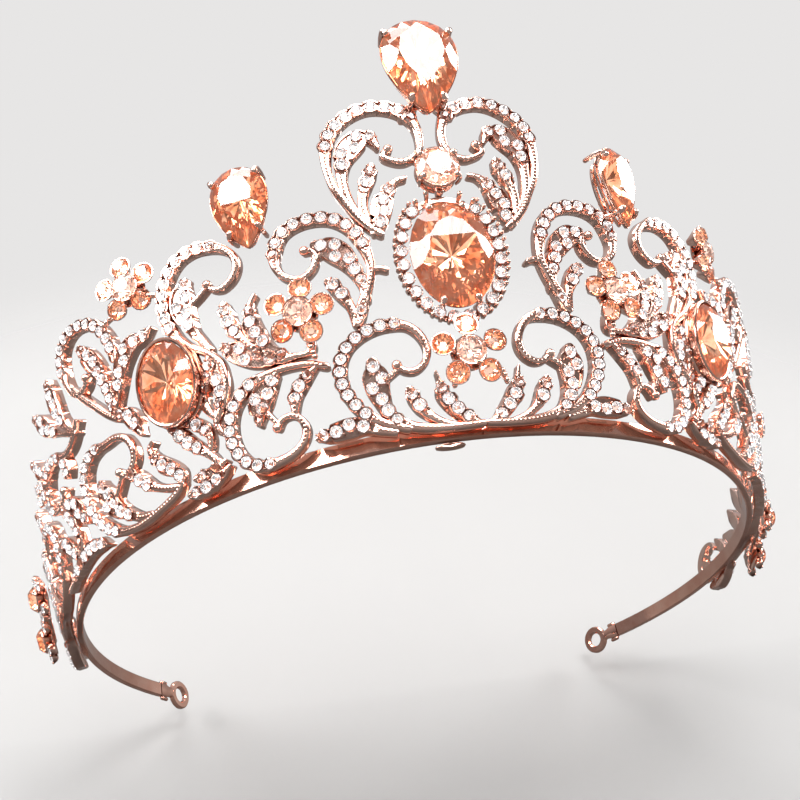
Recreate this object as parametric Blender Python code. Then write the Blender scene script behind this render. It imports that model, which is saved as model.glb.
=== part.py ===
"""Bridal tiara: rose gold scroll castings on a sprung head rail, set with peach and clear stones.

The ornament is drawn flat and then bent round the head.  A flat place has three numbers in
millimetres: across (along the rail from the front centre, + to the wearer's left), up (up the
leaning face from the rail's bottom edge) and out (out of the face, towards the viewer).
The front faces -Y, +Z is up and the rail's bottom edge lies at z = 0.
"""

import math

import bmesh
import bpy
from mathutils import Matrix, Vector

MM = 0.001

# Head rail, a flat strip bent round the head
RAIL_RADIUS = 67.9                  # outer face
RAIL_THICKNESS = 1.2
RAIL_HEIGHT = 3.0
RAIL_SWEEP = 148.0                  # along the outer face, each way from the front
RAIL_STEPS = 73
LEAN = math.radians(13.0)           # the ornament's face leans outward

# Eyelets crimped on the rail's ends
LOOP_RADIUS = 3.2
LOOP_HOLE = 1.6
LOOP_THICKNESS = 1.2
LOOP_TAIL = 4.0
LOOP_STEPS = 16
CRIMP_HALF = 0.45

# Solder seat under the rail
TAB_ACROSS = -5.6
TAB_LENGTH = 5.0
TAB_HEIGHT = 1.1

# Depths of the layers, measured out of the rail's outer face
GAP = 0.3                           # solder gap between touching pieces
SCROLL_BACK = 0.3
SCROLL_FRONT = 2.4
LAYER_STEP = 0.03                   # keeps two strokes of one casting out of one plane

# Stones: width, height (along the face), crown and pavilion depth
CENTRE_OVAL = (13.0, 18.0, 2.3, 3.4)
CREST_PEAR = (13.0, 18.0, 2.2, 3.4)
SIDE_PEAR = (9.6, 14.4, 1.8, 2.8)
SIDE_OVAL = (10.4, 13.8, 2.0, 2.6)
CREST_ROUND = (7.2, 7.2, 1.5, 2.4)
FLOWER_ROUND = (4.6, 4.6, 1.2, 1.5)
REAR_ROUND = (4.8, 4.8, 1.2, 1.4)
GIRDLE = 0.35
TABLE_SHARE = 0.58
GALLERY_TOP = 0.3                   # below the girdle
CLAW_HALF = 0.45
CLAW_PLACES = 72
HALO_SIDES = 40
STONE_SIDES = 16
SMALL_STONE_SIDES = 10

# Where the stones sit: across, up, and how far out their girdles stand
CENTRE_LINE = -1.0                  # the middle ornaments were soldered a little off the rail's middle
CENTRE_OVAL_AT = (CENTRE_LINE, 29.3, 3.0)
HALO_UP = 29.9
CREST_PEAR_AT = (CENTRE_LINE, 63.5, 4.2)
CREST_ROUND_AT = (CENTRE_LINE, 44.9, 3.3)
SIDE_PEARS = (("left", (-28.2, 43.8, 4.3), 0.0, 0.0), ("right", (26.4, 43.5, 4.6), 0.32, 0.22))
SIDE_OVAL_AT = (45.0, 20.6, 3.9)
LOWER_FLOWER_AT = (CENTRE_LINE, 12.7, 4.0)
MID_FLOWER_AT = (23.5, 23.8, 4.0)
TOP_FLOWER_AT = (48.8, 40.4, 3.0)
REAR_ROUNDS_AT = ((95.5, 6.5, 5.8), (103.5, 1.6, 5.8))
REAR_FLOWER_AT = (81.0, 20.0, 4.0)

PETAL_RADIUS = 1.9
PETAL_RING = 3.9
LOWER_PETAL_RING = 4.3
PETALS = 5
PETAL_BACK = -1.25
PETAL_FRONT = -0.35
REAR_PETAL = 2.4
REAR_PETAL_RING = 1.5
REAR_PETALS = 4
CUP_DROP = 1.9                      # from a rear stone's girdle down to its cup's back
CUP_HEIGHT = 1.2
CUP_BAR_HALF = 0.8
ROSETTE_CUPS = 5
ROSETTE_RING = 3.5

ROSE_GOLD = (0.86, 0.49, 0.36, 1.0)
PEACH = (0.95, 0.48, 0.25, 1.0)


# ---------------------------------------------------------------- placing

def on_face(across, up, out):
    """The place in metres of a flat place in millimetres."""
    angle = across / RAIL_RADIUS
    reach = RAIL_RADIUS + out * math.cos(LEAN) + up * math.sin(LEAN)
    height = up * math.cos(LEAN) - out * math.sin(LEAN)
    return Vector((reach * math.sin(angle), -reach * math.cos(angle), height)) * MM


def face_frame(across, up, out):
    """A frame on the face: X across, Y up the face, Z out of it."""
    angle = across / RAIL_RADIUS
    along = Vector((math.cos(angle), math.sin(angle), 0.0))
    radial = Vector((math.sin(angle), -math.cos(angle), 0.0))
    rise = radial * math.sin(LEAN) + Vector((0.0, 0.0, math.cos(LEAN)))
    normal = along.cross(rise)
    frame = Matrix((along, rise, normal)).transposed().to_4x4()
    frame.translation = on_face(across, up, out)
    return frame


# ---------------------------------------------------------------- materials

def metal_material():
    material = bpy.data.materials.new("rose_gold")
    material.use_nodes = True
    shader = material.node_tree.nodes["Principled BSDF"]
    shader.inputs["Base Color"].default_value = ROSE_GOLD
    shader.inputs["Metallic"].default_value = 1.0
    shader.inputs["Roughness"].default_value = 0.16
    return material


def crystal_material():
    material = bpy.data.materials.new("peach_crystal")
    material.use_nodes = True
    shader = material.node_tree.nodes["Principled BSDF"]
    shader.inputs["Base Color"].default_value = PEACH
    shader.inputs["Roughness"].default_value = 0.03
    shader.inputs["IOR"].default_value = 1.56
    shader.inputs["Transmission Weight"].default_value = 0.4
    return material


# ---------------------------------------------------------------- strokes

def smooth(points, steps):
    """A Catmull-Rom curve through points of (across, up, half width)."""
    path = []
    last = len(points) - 1
    for i in range(last):
        before = points[max(i - 1, 0)]
        start = points[i]
        end = points[i + 1]
        after = points[min(i + 2, last)]
        for k in range(steps):
            t = k / steps
            path.append(tuple(
                0.5 * (2 * q + (r - p) * t + (2 * p - 5 * q + 4 * r - s) * t ** 2
                       + (3 * q - p - 3 * r + s) * t ** 3)
                for p, q, r, s in zip(before, start, end, after)))
    path.append(points[-1])
    return path


def add_stroke(bm, points, back, front, side=1, steps=2):
    """Adds one closed ribbon that follows the points, from the back plane to the front plane."""
    path = smooth(points, steps)
    sections = []
    for i, (x, y, half) in enumerate(path):
        ahead = path[min(i + 1, len(path) - 1)]
        behind = path[max(i - 1, 0)]
        run = Vector((ahead[0] - behind[0], ahead[1] - behind[1])).normalized()
        left = Vector((-run.y, run.x)) * half
        corners = ((x + left.x, y + left.y, back), (x - left.x, y - left.y, back),
                   (x - left.x, y - left.y, front), (x + left.x, y + left.y, front))
        sections.append([bm.verts.new((side * cx, cy, cz)) for cx, cy, cz in corners])
    add_skin(bm, sections, closed=False)


def add_skin(bm, sections, closed):
    """Joins rings of corners with quads; an open row is capped, a closed one meets itself."""
    faces = []
    corners = len(sections[0])
    count = len(sections) if closed else len(sections) - 1
    for i in range(count):
        here = sections[i]
        there = sections[(i + 1) % len(sections)]
        for k in range(corners):
            m = (k + 1) % corners
            faces.append(bm.faces.new((here[k], here[m], there[m], there[k])))
    if not closed:
        faces.append(bm.faces.new(list(reversed(sections[0]))))
        faces.append(bm.faces.new(sections[-1]))
    bmesh.ops.recalc_face_normals(bm, faces=faces)


def add_ring(bm, outer, inner, back, front, centre=(0.0, 0.0)):
    """Adds a flat closed ring between two outlines of the same number of points."""
    sections = []
    cx, cy = centre
    for (ox, oy), (ix, iy) in zip(outer, inner):
        corners = ((ox, oy, back), (ix, iy, back), (ix, iy, front), (ox, oy, front))
        sections.append([bm.verts.new((cx + x, cy + y, z)) for x, y, z in corners])
    add_skin(bm, sections, closed=True)


def add_plug(bm, outline, back, front, top_share=1.0, centre=(0.0, 0.0)):
    """Adds a solid outline, its front drawn in by top_share."""
    cx, cy = centre
    low = [bm.verts.new((cx + x, cy + y, back)) for x, y in outline]
    high = [bm.verts.new((cx + x * top_share, cy + y * top_share, front)) for x, y in outline]
    add_skin(bm, [low, high], closed=False)


# ---------------------------------------------------------------- outlines

def ellipse(width, height, sides, grow=0.0):
    points = []
    for i in range(sides):
        t = 2 * math.pi * i / sides
        points.append(((width / 2 + grow) * math.cos(t), (height / 2 + grow) * math.sin(t)))
    return points


def pear(width, height, sides, grow=0.0):
    """A teardrop with its point down."""
    fullness = 0.72
    widest = max(math.sin(k / 100) * math.sin(k / 200) ** fullness for k in range(1, 314))
    points = []
    for i in range(sides):
        t = 2 * math.pi * i / sides
        swell = math.sin(t) * math.sin(t / 2) ** fullness / widest
        points.append(((width / 2 + grow) * swell, -(height / 2 + grow) * math.cos(t)))
    return points


# ---------------------------------------------------------------- objects

def finish_object(name, mesh, material, frame=None):
    for old in list(mesh.materials):
        mesh.materials.pop()
    mesh.materials.append(material)
    mesh.shade_smooth()
    mesh.set_sharp_from_angle(angle=math.radians(35))
    thing = bpy.data.objects.new(name, mesh)
    bpy.context.collection.objects.link(thing)
    if frame is not None:
        thing.matrix_world = frame
    return thing


def welded(builders):
    """One closed mesh, in millimetres, from several overlapping closed shapes.

    Each builder adds one shape to a bmesh.  An exact Boolean union melts them together.
    """
    meshes = []
    for group in (builders[:-1], builders[-1:]):
        bm = bmesh.new()
        for build in group:
            build(bm)
        mesh = bpy.data.meshes.new("shape")
        bm.to_mesh(mesh)
        bm.free()
        meshes.append(mesh)
    pieces = [bpy.data.objects.new("shape", mesh) for mesh in meshes]
    for piece in pieces:
        bpy.context.collection.objects.link(piece)
    union = pieces[0].modifiers.new("union", "BOOLEAN")
    union.operation = "UNION"
    union.solver = "EXACT"
    union.use_self = True
    union.object = pieces[1]
    depsgraph = bpy.context.evaluated_depsgraph_get()
    result = bpy.data.meshes.new_from_object(pieces[0].evaluated_get(depsgraph))
    for piece in pieces:
        bpy.data.objects.remove(piece)
    return result


def bend(mesh):
    """Bends a flat mesh in millimetres round the head, into metres."""
    bm = bmesh.new()
    bm.from_mesh(mesh)
    bmesh.ops.remove_doubles(bm, verts=bm.verts, dist=0.001)
    bmesh.ops.dissolve_degenerate(bm, edges=bm.edges, dist=0.001)
    bmesh.ops.triangulate(bm, faces=bm.faces)
    for vert in bm.verts:
        vert.co = on_face(*vert.co)
    bm.to_mesh(mesh)
    bm.free()


def casting(name, strokes, material, extras=()):
    """A bent casting.  strokes lists (side, steps, points); extras are more builders."""
    builders = list(extras)
    for i, (side, steps, points) in enumerate(strokes):
        lift = i * LAYER_STEP
        builders.append(
            lambda bm, s=side, n=steps, p=points, d=lift:
            add_stroke(bm, p, SCROLL_BACK + d, SCROLL_FRONT - d, s, n))
    mesh = welded(builders)
    bend(mesh)
    return finish_object(name, mesh, material)


def flat_piece(name, builders, material, frame):
    """A piece that stays flat and stands on the face's frame."""
    mesh = welded(builders)
    bm = bmesh.new()
    bm.from_mesh(mesh)
    bmesh.ops.remove_doubles(bm, verts=bm.verts, dist=0.001)
    bmesh.ops.triangulate(bm, faces=bm.faces)
    bmesh.ops.scale(bm, vec=(MM, MM, MM), verts=bm.verts)
    bmesh.ops.recalc_face_normals(bm, faces=bm.faces)
    bm.to_mesh(mesh)
    bm.free()
    return finish_object(name, mesh, material, frame)


# ---------------------------------------------------------------- rail and eyelets

def head_rail(material):
    bm = bmesh.new()
    sections = []
    inner = RAIL_RADIUS - RAIL_THICKNESS
    for i in range(RAIL_STEPS + 1):
        angle = (2 * i / RAIL_STEPS - 1) * RAIL_SWEEP / RAIL_RADIUS
        turn = Vector((math.sin(angle), -math.cos(angle)))
        corners = ((RAIL_RADIUS, 0.0), (inner, 0.0), (inner, RAIL_HEIGHT), (RAIL_RADIUS, RAIL_HEIGHT))
        sections.append([bm.verts.new((turn.x * r * MM, turn.y * r * MM, z * MM)) for r, z in corners])
    add_skin(bm, sections, closed=False)
    mesh = bpy.data.meshes.new("head_rail")
    bm.to_mesh(mesh)
    bm.free()
    return finish_object("head_rail", mesh, material)


def end_loop(name, side, material):
    """A round eyelet in the rail's own plane, with the flat tail that meets the rail's end."""
    angle = side * RAIL_SWEEP / RAIL_RADIUS
    along = Vector((math.cos(angle), math.sin(angle), 0.0)) * side
    radial = Vector((math.sin(angle), -math.cos(angle), 0.0))
    up = Vector((0.0, 0.0, 1.0))
    frame = Matrix((along, up, along.cross(up))).transposed().to_4x4()
    centre = RAIL_RADIUS - RAIL_THICKNESS / 2
    frame.translation = (radial * centre + up * RAIL_HEIGHT / 2) * MM
    reach = LOOP_TAIL + LOOP_RADIUS
    rim = ellipse(2 * LOOP_RADIUS, 2 * LOOP_RADIUS, LOOP_STEPS)
    hole = ellipse(2 * LOOP_HOLE, 2 * LOOP_HOLE, LOOP_STEPS)
    half = LOOP_THICKNESS / 2
    tail = [(GAP, 0.0, RAIL_HEIGHT / 2), (LOOP_TAIL + 0.6, 0.0, RAIL_HEIGHT / 2)]
    crimps = [[(0.8, y, 0.5), (2.4, y * 1.03, 0.42)] for y in (-1.75, 1.75)]
    builders = [
        lambda bm: add_stroke(bm, crimps[0], -CRIMP_HALF, CRIMP_HALF, 1, 1),
        lambda bm: add_stroke(bm, crimps[1], -CRIMP_HALF, CRIMP_HALF, 1, 1),
        lambda bm: add_stroke(bm, tail, -half - 0.05, half + 0.05, 1, 1),
        lambda bm: add_ring(bm, rim, hole, -half, half, (reach, 0.0)),
    ]
    return flat_piece(name, builders, material, frame)


def solder_tab(material):
    """The small solder seat under the rail, just off the centre."""
    angle = TAB_ACROSS / RAIL_RADIUS
    along = Vector((math.cos(angle), math.sin(angle), 0.0))
    radial = Vector((math.sin(angle), -math.cos(angle), 0.0))
    up = Vector((0.0, 0.0, 1.0))
    frame = Matrix((along, up, radial)).transposed().to_4x4()
    frame.translation = (radial * RAIL_RADIUS - up * (GAP + TAB_HEIGHT / 2)) * MM
    outline = ellipse(TAB_LENGTH, TAB_HEIGHT, SMALL_STONE_SIDES)
    seat = lambda bm: add_plug(bm, outline, -RAIL_THICKNESS, 0.0, 0.8)
    foot = lambda bm: add_plug(bm, outline, -RAIL_THICKNESS / 2, 0.1, 0.6)
    return flat_piece("rail_solder_tab", [seat, foot], material, frame)


# ---------------------------------------------------------------- scroll castings (half patterns)

CREST_SCROLL = [
    (6.2, 49.5, 0.6), (7.1, 48.4, 0.45), (5.9, 47.4, 0.45), (4.4, 47.0, 0.5), (2.9, 47.6, 0.5),
    (1.9, 49.0, 0.55), (1.6, 51.2, 0.6), (1.9, 53.6, 0.7), (2.9, 55.7, 1.0), (5.0, 57.2, 1.0),
    (7.8, 57.8, 1.0), (10.5, 57.0, 1.0), (12.9, 55.1, 1.0), (14.3, 52.7, 1.0), (14.8, 50.0, 0.8),
    (14.9, 47.2, 0.6), (14.4, 44.0, 0.6), (13.2, 41.0, 0.65), (12.0, 38.2, 0.65), (10.6, 36.0, 0.65),
    (9.3, 34.7, 0.6),
]
CREST_LEAF = [
    (7.6, 50.3, 0.4), (8.5, 52.2, 1.0), (10.1, 52.0, 1.7), (11.7, 50.4, 1.8), (12.7, 48.2, 1.2),
    (13.1, 45.4, 0.75), (13.0, 42.6, 0.7), (12.4, 39.8, 0.7), (11.0, 37.4, 0.7),
]
CREST_SPRIG = [
    (9.0, 46.6, 0.7), (9.4, 45.3, 1.1), (10.2, 43.5, 1.05), (10.8, 41.4, 0.75), (11.0, 39.4, 0.7),
    (10.8, 37.2, 0.7),
]
CREST_HOOK_LEAF = [
    (4.7, 43.9, 0.4), (5.8, 43.6, 0.5), (7.0, 42.4, 0.9), (8.1, 40.4, 1.5), (8.7, 38.4, 1.5),
    (9.1, 36.4, 1.0), (10.0, 35.2, 0.7),
]
CREST_LUG = [(3.2, 55.6, 0.9), (1.8, 57.2, 0.8)]
CREST_ROUND_LINK = [(2.9, 47.6, 0.5), (2.0, 46.9, 0.5)]
CREST_STEM = [(0.0, 42.1, 0.6), (0.0, 41.2, 0.6)]

MID_SCROLL = [
    (21.2, 34.3, 0.5), (20.2, 34.0, 0.4), (19.8, 32.5, 0.45), (20.6, 30.9, 0.5), (22.1, 29.9, 0.5),
    (23.8, 30.2, 0.55), (25.1, 31.5, 0.6), (25.7, 33.6, 0.7), (25.3, 36.0, 1.0), (24.0, 38.2, 1.0),
    (21.9, 39.3, 1.0), (19.3, 39.5, 1.0), (16.8, 38.8, 1.0), (14.7, 37.0, 1.0), (13.4, 34.6, 1.0),
    (12.7, 31.8, 0.8), (12.5, 29.0, 0.6), (13.2, 26.4, 0.65), (14.3, 23.9, 0.8), (15.2, 21.6, 0.9),
    (15.8, 20.4, 0.8),
]
MID_LEAF = [
    (19.4, 34.7, 0.9), (17.9, 34.0, 1.75), (16.4, 32.4, 1.85), (15.3, 30.4, 1.35), (14.4, 28.2, 1.0),
    (13.9, 26.0, 0.8), (14.0, 24.0, 0.8),
]
MID_LEAF_TIE = [(20.2, 32.6, 0.35), (19.0, 33.0, 0.35)]
MID_SPRIG = [
    (18.6, 28.0, 0.8), (18.0, 27.2, 1.1), (17.1, 25.3, 1.05), (16.4, 23.4, 0.7), (16.0, 21.6, 0.8),
    (15.9, 20.4, 0.8),
]
MID_BAR = [(12.7, 28.6, 0.5), (11.6, 28.8, 0.45), (10.5, 28.4, 0.5)]

LOWER_SCROLL = [
    (11.5, 12.3, 0.55), (10.6, 11.3, 0.45), (9.2, 11.0, 0.5), (7.9, 11.7, 0.5), (7.0, 13.1, 0.55),
    (6.9, 15.0, 0.6), (7.7, 17.0, 0.65), (9.2, 18.5, 0.7), (11.3, 19.1, 0.95), (13.6, 19.0, 1.0),
    (15.9, 18.2, 1.0), (17.9, 16.8, 1.0), (19.2, 14.8, 1.0), (19.7, 12.5, 1.0), (19.5, 10.2, 1.0),
    (18.7, 8.0, 1.0), (17.5, 6.0, 1.0), (15.9, 4.5, 0.8), (14.0, 3.2, 0.7), (11.6, 2.2, 0.7),
]
LOWER_LEAF = [
    (14.9, 13.3, 0.9), (14.8, 11.3, 1.9), (14.8, 9.2, 1.8), (14.4, 7.0, 1.35), (13.7, 5.0, 1.1),
    (12.4, 3.3, 0.9), (10.0, 2.1, 0.75), (6.5, 1.5, 0.6), (3.0, 1.4, 0.55), (0.5, 1.5, 0.5),
]
LOWER_LEAF_TIE = [(11.3, 11.7, 0.4), (13.4, 10.3, 0.4)]
LOWER_SPRIG = [
    (10.3, 8.0, 0.7), (9.9, 6.8, 1.1), (9.1, 5.0, 1.05), (7.9, 3.5, 0.7), (6.2, 2.2, 0.6),
    (4.4, 1.6, 0.5),
]
LOWER_POINT_LEAF = [
    (6.2, 10.3, 0.2), (5.9, 8.7, 0.4), (5.6, 7.0, 1.25), (4.6, 5.1, 1.35), (3.2, 3.4, 1.15),
    (1.7, 2.1, 0.7), (0.6, 1.4, 0.4),
]
LOWER_SIDE_LEAF = [
    (24.8, 3.6, 0.3), (23.6, 3.8, 1.1), (21.8, 3.9, 1.5), (19.5, 4.0, 1.6), (17.6, 3.7, 1.2),
    (15.8, 2.8, 0.8), (13.6, 2.0, 0.6),
]

SPRAY_BIG_LEAF = [
    (35.7, 22.8, 0.4), (34.6, 21.8, 1.5), (33.0, 20.5, 1.8), (31.2, 19.2, 1.7), (29.2, 18.2, 1.2),
    (27.2, 17.6, 0.8), (25.6, 17.5, 0.6),
]
SPRAY_HOOK_LEAF = [
    (29.5, 29.3, 0.4), (30.2, 28.3, 0.5), (30.8, 26.3, 1.2), (30.7, 24.1, 1.5), (29.9, 22.0, 1.3),
    (28.8, 20.0, 1.0), (27.4, 18.4, 0.9), (26.2, 17.5, 0.7),
]
SPRAY_SPRIG = [
    (34.2, 29.4, 0.8), (34.2, 27.6, 1.25), (33.9, 25.7, 1.1), (33.0, 23.6, 0.8), (31.8, 21.6, 0.8),
    (30.2, 19.8, 0.8), (28.8, 18.8, 0.7),
]
SPRAY_STEM = [(23.0, 20.0, 0.6), (22.9, 18.2, 0.7), (23.6, 17.4, 0.5), (26.0, 17.5, 0.45)]

SIDE_SCROLL = [
    (36.0, 34.1, 0.5), (35.5, 33.1, 0.45), (34.1, 32.6, 0.5), (32.4, 33.4, 0.5), (31.3, 35.0, 0.55),
    (31.2, 37.0, 0.6), (32.4, 39.0, 0.7), (34.4, 40.4, 0.9), (37.0, 41.1, 1.0), (39.6, 40.6, 1.0),
    (41.7, 38.9, 1.0), (43.2, 36.4, 1.0), (43.8, 33.4, 1.0), (43.6, 30.4, 1.0), (42.3, 27.3, 0.75),
    (40.4, 24.8, 0.65), (38.2, 22.9, 0.65), (36.8, 20.8, 0.6), (36.4, 18.4, 0.55), (36.6, 16.0, 0.5),
    (37.6, 14.0, 0.5), (38.9, 12.4, 0.6),
]
SIDE_LEAF = [
    (39.3, 36.2, 0.7), (40.3, 34.5, 1.7), (40.7, 32.0, 1.8), (40.3, 29.5, 1.3), (39.8, 27.6, 0.9),
    (38.9, 25.6, 0.8), (38.0, 23.6, 0.7),
]
SIDE_LEAF_TIE = [(36.4, 33.7, 0.4), (38.0, 32.6, 0.35), (39.4, 32.0, 0.4)]
SIDE_SPLIT_OUTER = [
    (38.2, 22.2, 0.6), (39.2, 19.6, 1.25), (40.6, 17.2, 1.15), (40.7, 15.0, 0.8), (39.9, 13.2, 0.6),
    (39.1, 12.2, 0.6),
]
SIDE_SPLIT_INNER = [
    (37.6, 21.4, 0.7), (37.8, 18.6, 1.3), (37.6, 16.2, 1.2), (38.1, 13.8, 0.9), (39.0, 12.0, 0.6),
]
SIDE_FOOT = [(39.0, 12.8, 0.6), (39.4, 11.0, 0.55), (39.0, 9.6, 0.5)]

BASE_SCROLL = [
    (30.2, 7.1, 0.55), (29.2, 8.2, 0.45), (27.6, 8.3, 0.5), (26.4, 7.1, 0.55), (26.1, 5.4, 0.6),
    (26.9, 3.7, 0.6), (28.7, 2.5, 0.65), (31.0, 2.0, 0.75), (33.4, 2.1, 1.0), (35.4, 3.0, 1.0),
    (36.8, 4.8, 1.0), (37.5, 7.2, 1.0), (37.4, 9.8, 1.0), (36.5, 12.2, 1.0), (34.9, 14.0, 1.0),
    (32.8, 15.3, 1.0), (30.6, 15.9, 0.75), (28.2, 16.1, 0.65), (26.0, 16.0, 0.6), (23.7, 15.6, 0.6),
    (21.5, 14.6, 0.6),
]
BASE_LEAF = [
    (29.1, 15.2, 0.8), (30.5, 13.8, 1.5), (31.8, 12.3, 1.9), (32.5, 10.4, 1.5), (32.8, 8.6, 0.5),
]
BASE_LEAF_TIE = [(30.0, 7.6, 0.4), (30.8, 9.0, 0.4), (31.6, 10.4, 0.5)]
BASE_SPRIG = [
    (23.2, 14.6, 0.5), (24.9, 13.4, 1.05), (26.5, 11.6, 1.1), (27.0, 9.8, 0.7), (27.2, 8.6, 0.5),
]

OVAL_LEAF_OUTER = [
    (46.8, 14.4, 1.0), (46.1, 12.3, 1.25), (44.8, 10.3, 1.25), (43.1, 8.6, 0.95), (41.6, 7.0, 0.7),
    (40.8, 5.6, 0.6), (41.2, 4.2, 0.6),
]
OVAL_LEAF_INNER = [
    (44.6, 14.2, 0.8), (43.3, 13.0, 1.15), (41.6, 11.4, 1.0), (40.9, 9.6, 0.6), (41.2, 8.0, 0.5),
    (41.9, 7.0, 0.5),
]
OVAL_BASE_LEAF = [
    (46.1, 2.1, 0.8), (44.2, 2.1, 1.1), (42.0, 2.5, 1.05), (40.2, 3.2, 0.9), (38.9, 3.9, 0.4),
]
OVAL_CROSS_LEAF = [(44.6, 4.2, 0.7), (43.0, 4.2, 1.0), (41.2, 4.4, 1.0), (39.4, 5.0, 0.4)]

FAR_SCROLL = [
    (61.4, 30.8, 0.5), (62.2, 29.5, 0.45), (64.1, 29.2, 0.5), (65.7, 30.6, 0.55), (66.6, 33.0, 0.6),
    (66.9, 35.8, 0.95), (66.2, 38.4, 1.0), (64.3, 40.1, 1.0), (61.8, 40.6, 1.0), (59.2, 39.9, 1.0),
    (57.0, 38.3, 1.0), (55.5, 35.9, 1.0), (54.7, 33.2, 1.0), (54.6, 30.6, 0.9),
]
FAR_LEAF = [
    (61.2, 36.4, 0.6), (60.2, 34.2, 1.5), (59.1, 31.8, 1.6), (58.2, 29.4, 1.3), (57.5, 26.8, 1.0),
    (57.2, 24.2, 0.9), (57.0, 21.8, 0.9),
]
FAR_LEAF_TIE = [(61.6, 30.4, 0.4), (60.2, 30.6, 0.4), (59.0, 31.0, 0.5)]
FAR_RIB = [
    (65.4, 30.9, 0.6), (63.4, 28.0, 0.7), (61.0, 25.0, 0.7), (58.8, 22.3, 0.7), (57.0, 20.6, 0.7),
]
FAR_OVAL_LEAF = [
    (46.8, 31.7, 0.4), (48.4, 31.0, 1.1), (50.6, 31.0, 1.5), (52.6, 29.8, 1.7), (54.0, 27.7, 1.4),
    (55.1, 25.4, 1.1), (56.3, 23.2, 0.9), (57.0, 21.4, 0.8),
]
FAR_LOW_LEAF = [
    (56.8, 21.0, 0.7), (55.2, 20.6, 1.2), (54.0, 19.0, 1.5), (53.4, 17.2, 1.2), (52.9, 15.6, 0.4),
]

OUTER_SCROLL = [
    (59.2, 11.8, 0.6), (58.6, 10.9, 0.5), (57.0, 11.0, 0.5), (55.6, 12.3, 0.55), (55.3, 14.4, 0.6),
    (56.3, 16.6, 0.65), (58.5, 17.8, 0.65), (61.2, 17.9, 0.7), (63.6, 18.2, 0.9), (66.2, 17.6, 1.0),
    (68.0, 15.8, 1.0), (68.7, 13.4, 1.0), (68.6, 10.8, 1.0), (67.7, 8.2, 1.0), (66.2, 5.9, 1.0),
    (64.2, 4.0, 1.0), (61.6, 2.6, 0.8), (58.6, 1.9, 0.65), (55.6, 1.9, 0.6), (52.6, 2.4, 0.55),
    (49.6, 3.2, 0.6), (47.6, 4.4, 0.5),
]
OUTER_LEAF = [
    (64.2, 12.2, 0.7), (63.9, 10.2, 1.75), (62.9, 8.0, 1.85), (61.2, 6.0, 1.4), (59.2, 4.4, 1.0),
    (57.0, 3.0, 0.8), (54.6, 2.4, 0.6),
]
OUTER_LEAF_TIE = [(58.9, 11.0, 0.4), (60.2, 9.6, 0.4), (61.4, 8.4, 0.5)]
OUTER_SPRIG = [
    (57.3, 10.6, 0.5), (56.2, 9.7, 1.2), (54.7, 7.9, 1.25), (52.8, 6.3, 0.8), (50.6, 5.1, 0.7),
    (48.4, 4.4, 0.6),
]
OUTER_HOOK_LEAF = [
    (51.3, 13.2, 0.4), (52.0, 12.4, 0.45), (51.4, 10.6, 0.9), (50.3, 9.0, 1.35), (48.8, 7.6, 1.35),
    (47.6, 6.2, 1.1), (47.6, 4.6, 0.6),
]

REAR_RING = [
    (75.4, 17.0, 0.5), (76.4, 16.0, 0.45), (78.2, 15.2, 0.5), (80.6, 15.8, 0.8), (82.4, 17.8, 1.0),
    (82.6, 20.4, 1.0), (81.0, 22.8, 1.0), (78.4, 23.8, 1.0), (75.4, 23.4, 0.9), (72.8, 22.4, 0.8),
    (70.4, 22.4, 0.6), (68.4, 23.6, 0.6), (66.6, 25.4, 0.5),
]
REAR_TALL_LEAF = [
    (71.8, 36.6, 0.6), (71.8, 34.4, 1.4), (71.6, 31.6, 1.5), (70.8, 28.8, 1.0), (69.4, 26.0, 0.8),
    (67.8, 24.0, 0.7),
]
REAR_WIDE_LEAF = [
    (79.2, 34.0, 0.6), (77.8, 32.2, 1.6), (76.0, 30.0, 1.6), (73.6, 27.8, 1.0), (71.0, 26.0, 0.8),
    (68.6, 24.4, 0.7),
]
REAR_LOW_RIB = [
    (78.8, 15.6, 0.6), (76.8, 13.2, 1.0), (75.2, 10.8, 1.0), (74.6, 8.2, 0.9), (74.9, 5.6, 0.8),
    (76.6, 3.4, 0.7),
]
REAR_CROSS_LEAF = [
    (70.6, 8.6, 0.5), (71.9, 11.2, 1.5), (73.9, 13.4, 1.5), (76.4, 15.0, 1.0), (78.6, 15.8, 0.6),
]
REAR_BASE_LEAF = [
    (66.9, 2.6, 0.4), (68.8, 3.6, 1.2), (71.6, 4.0, 1.4), (74.4, 3.8, 1.4), (77.4, 3.2, 1.2),
    (80.6, 2.4, 0.8), (84.0, 2.0, 0.7),
]
REAR_OUTER_LEAF = [
    (82.6, 10.8, 0.5), (81.0, 9.4, 1.4), (79.0, 7.6, 1.5), (77.0, 5.6, 1.1), (76.4, 3.6, 0.7),
]
REAR_HIGH_LEAF = [(86.2, 29.0, 0.5), (84.8, 26.8, 1.5), (82.8, 24.6, 1.5), (80.8, 23.0, 1.0)]
REAR_INNER_LEAF = [(73.2, 18.6, 0.5), (73.0, 20.0, 1.3), (73.4, 21.6, 1.2), (74.2, 23.0, 0.8)]

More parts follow.
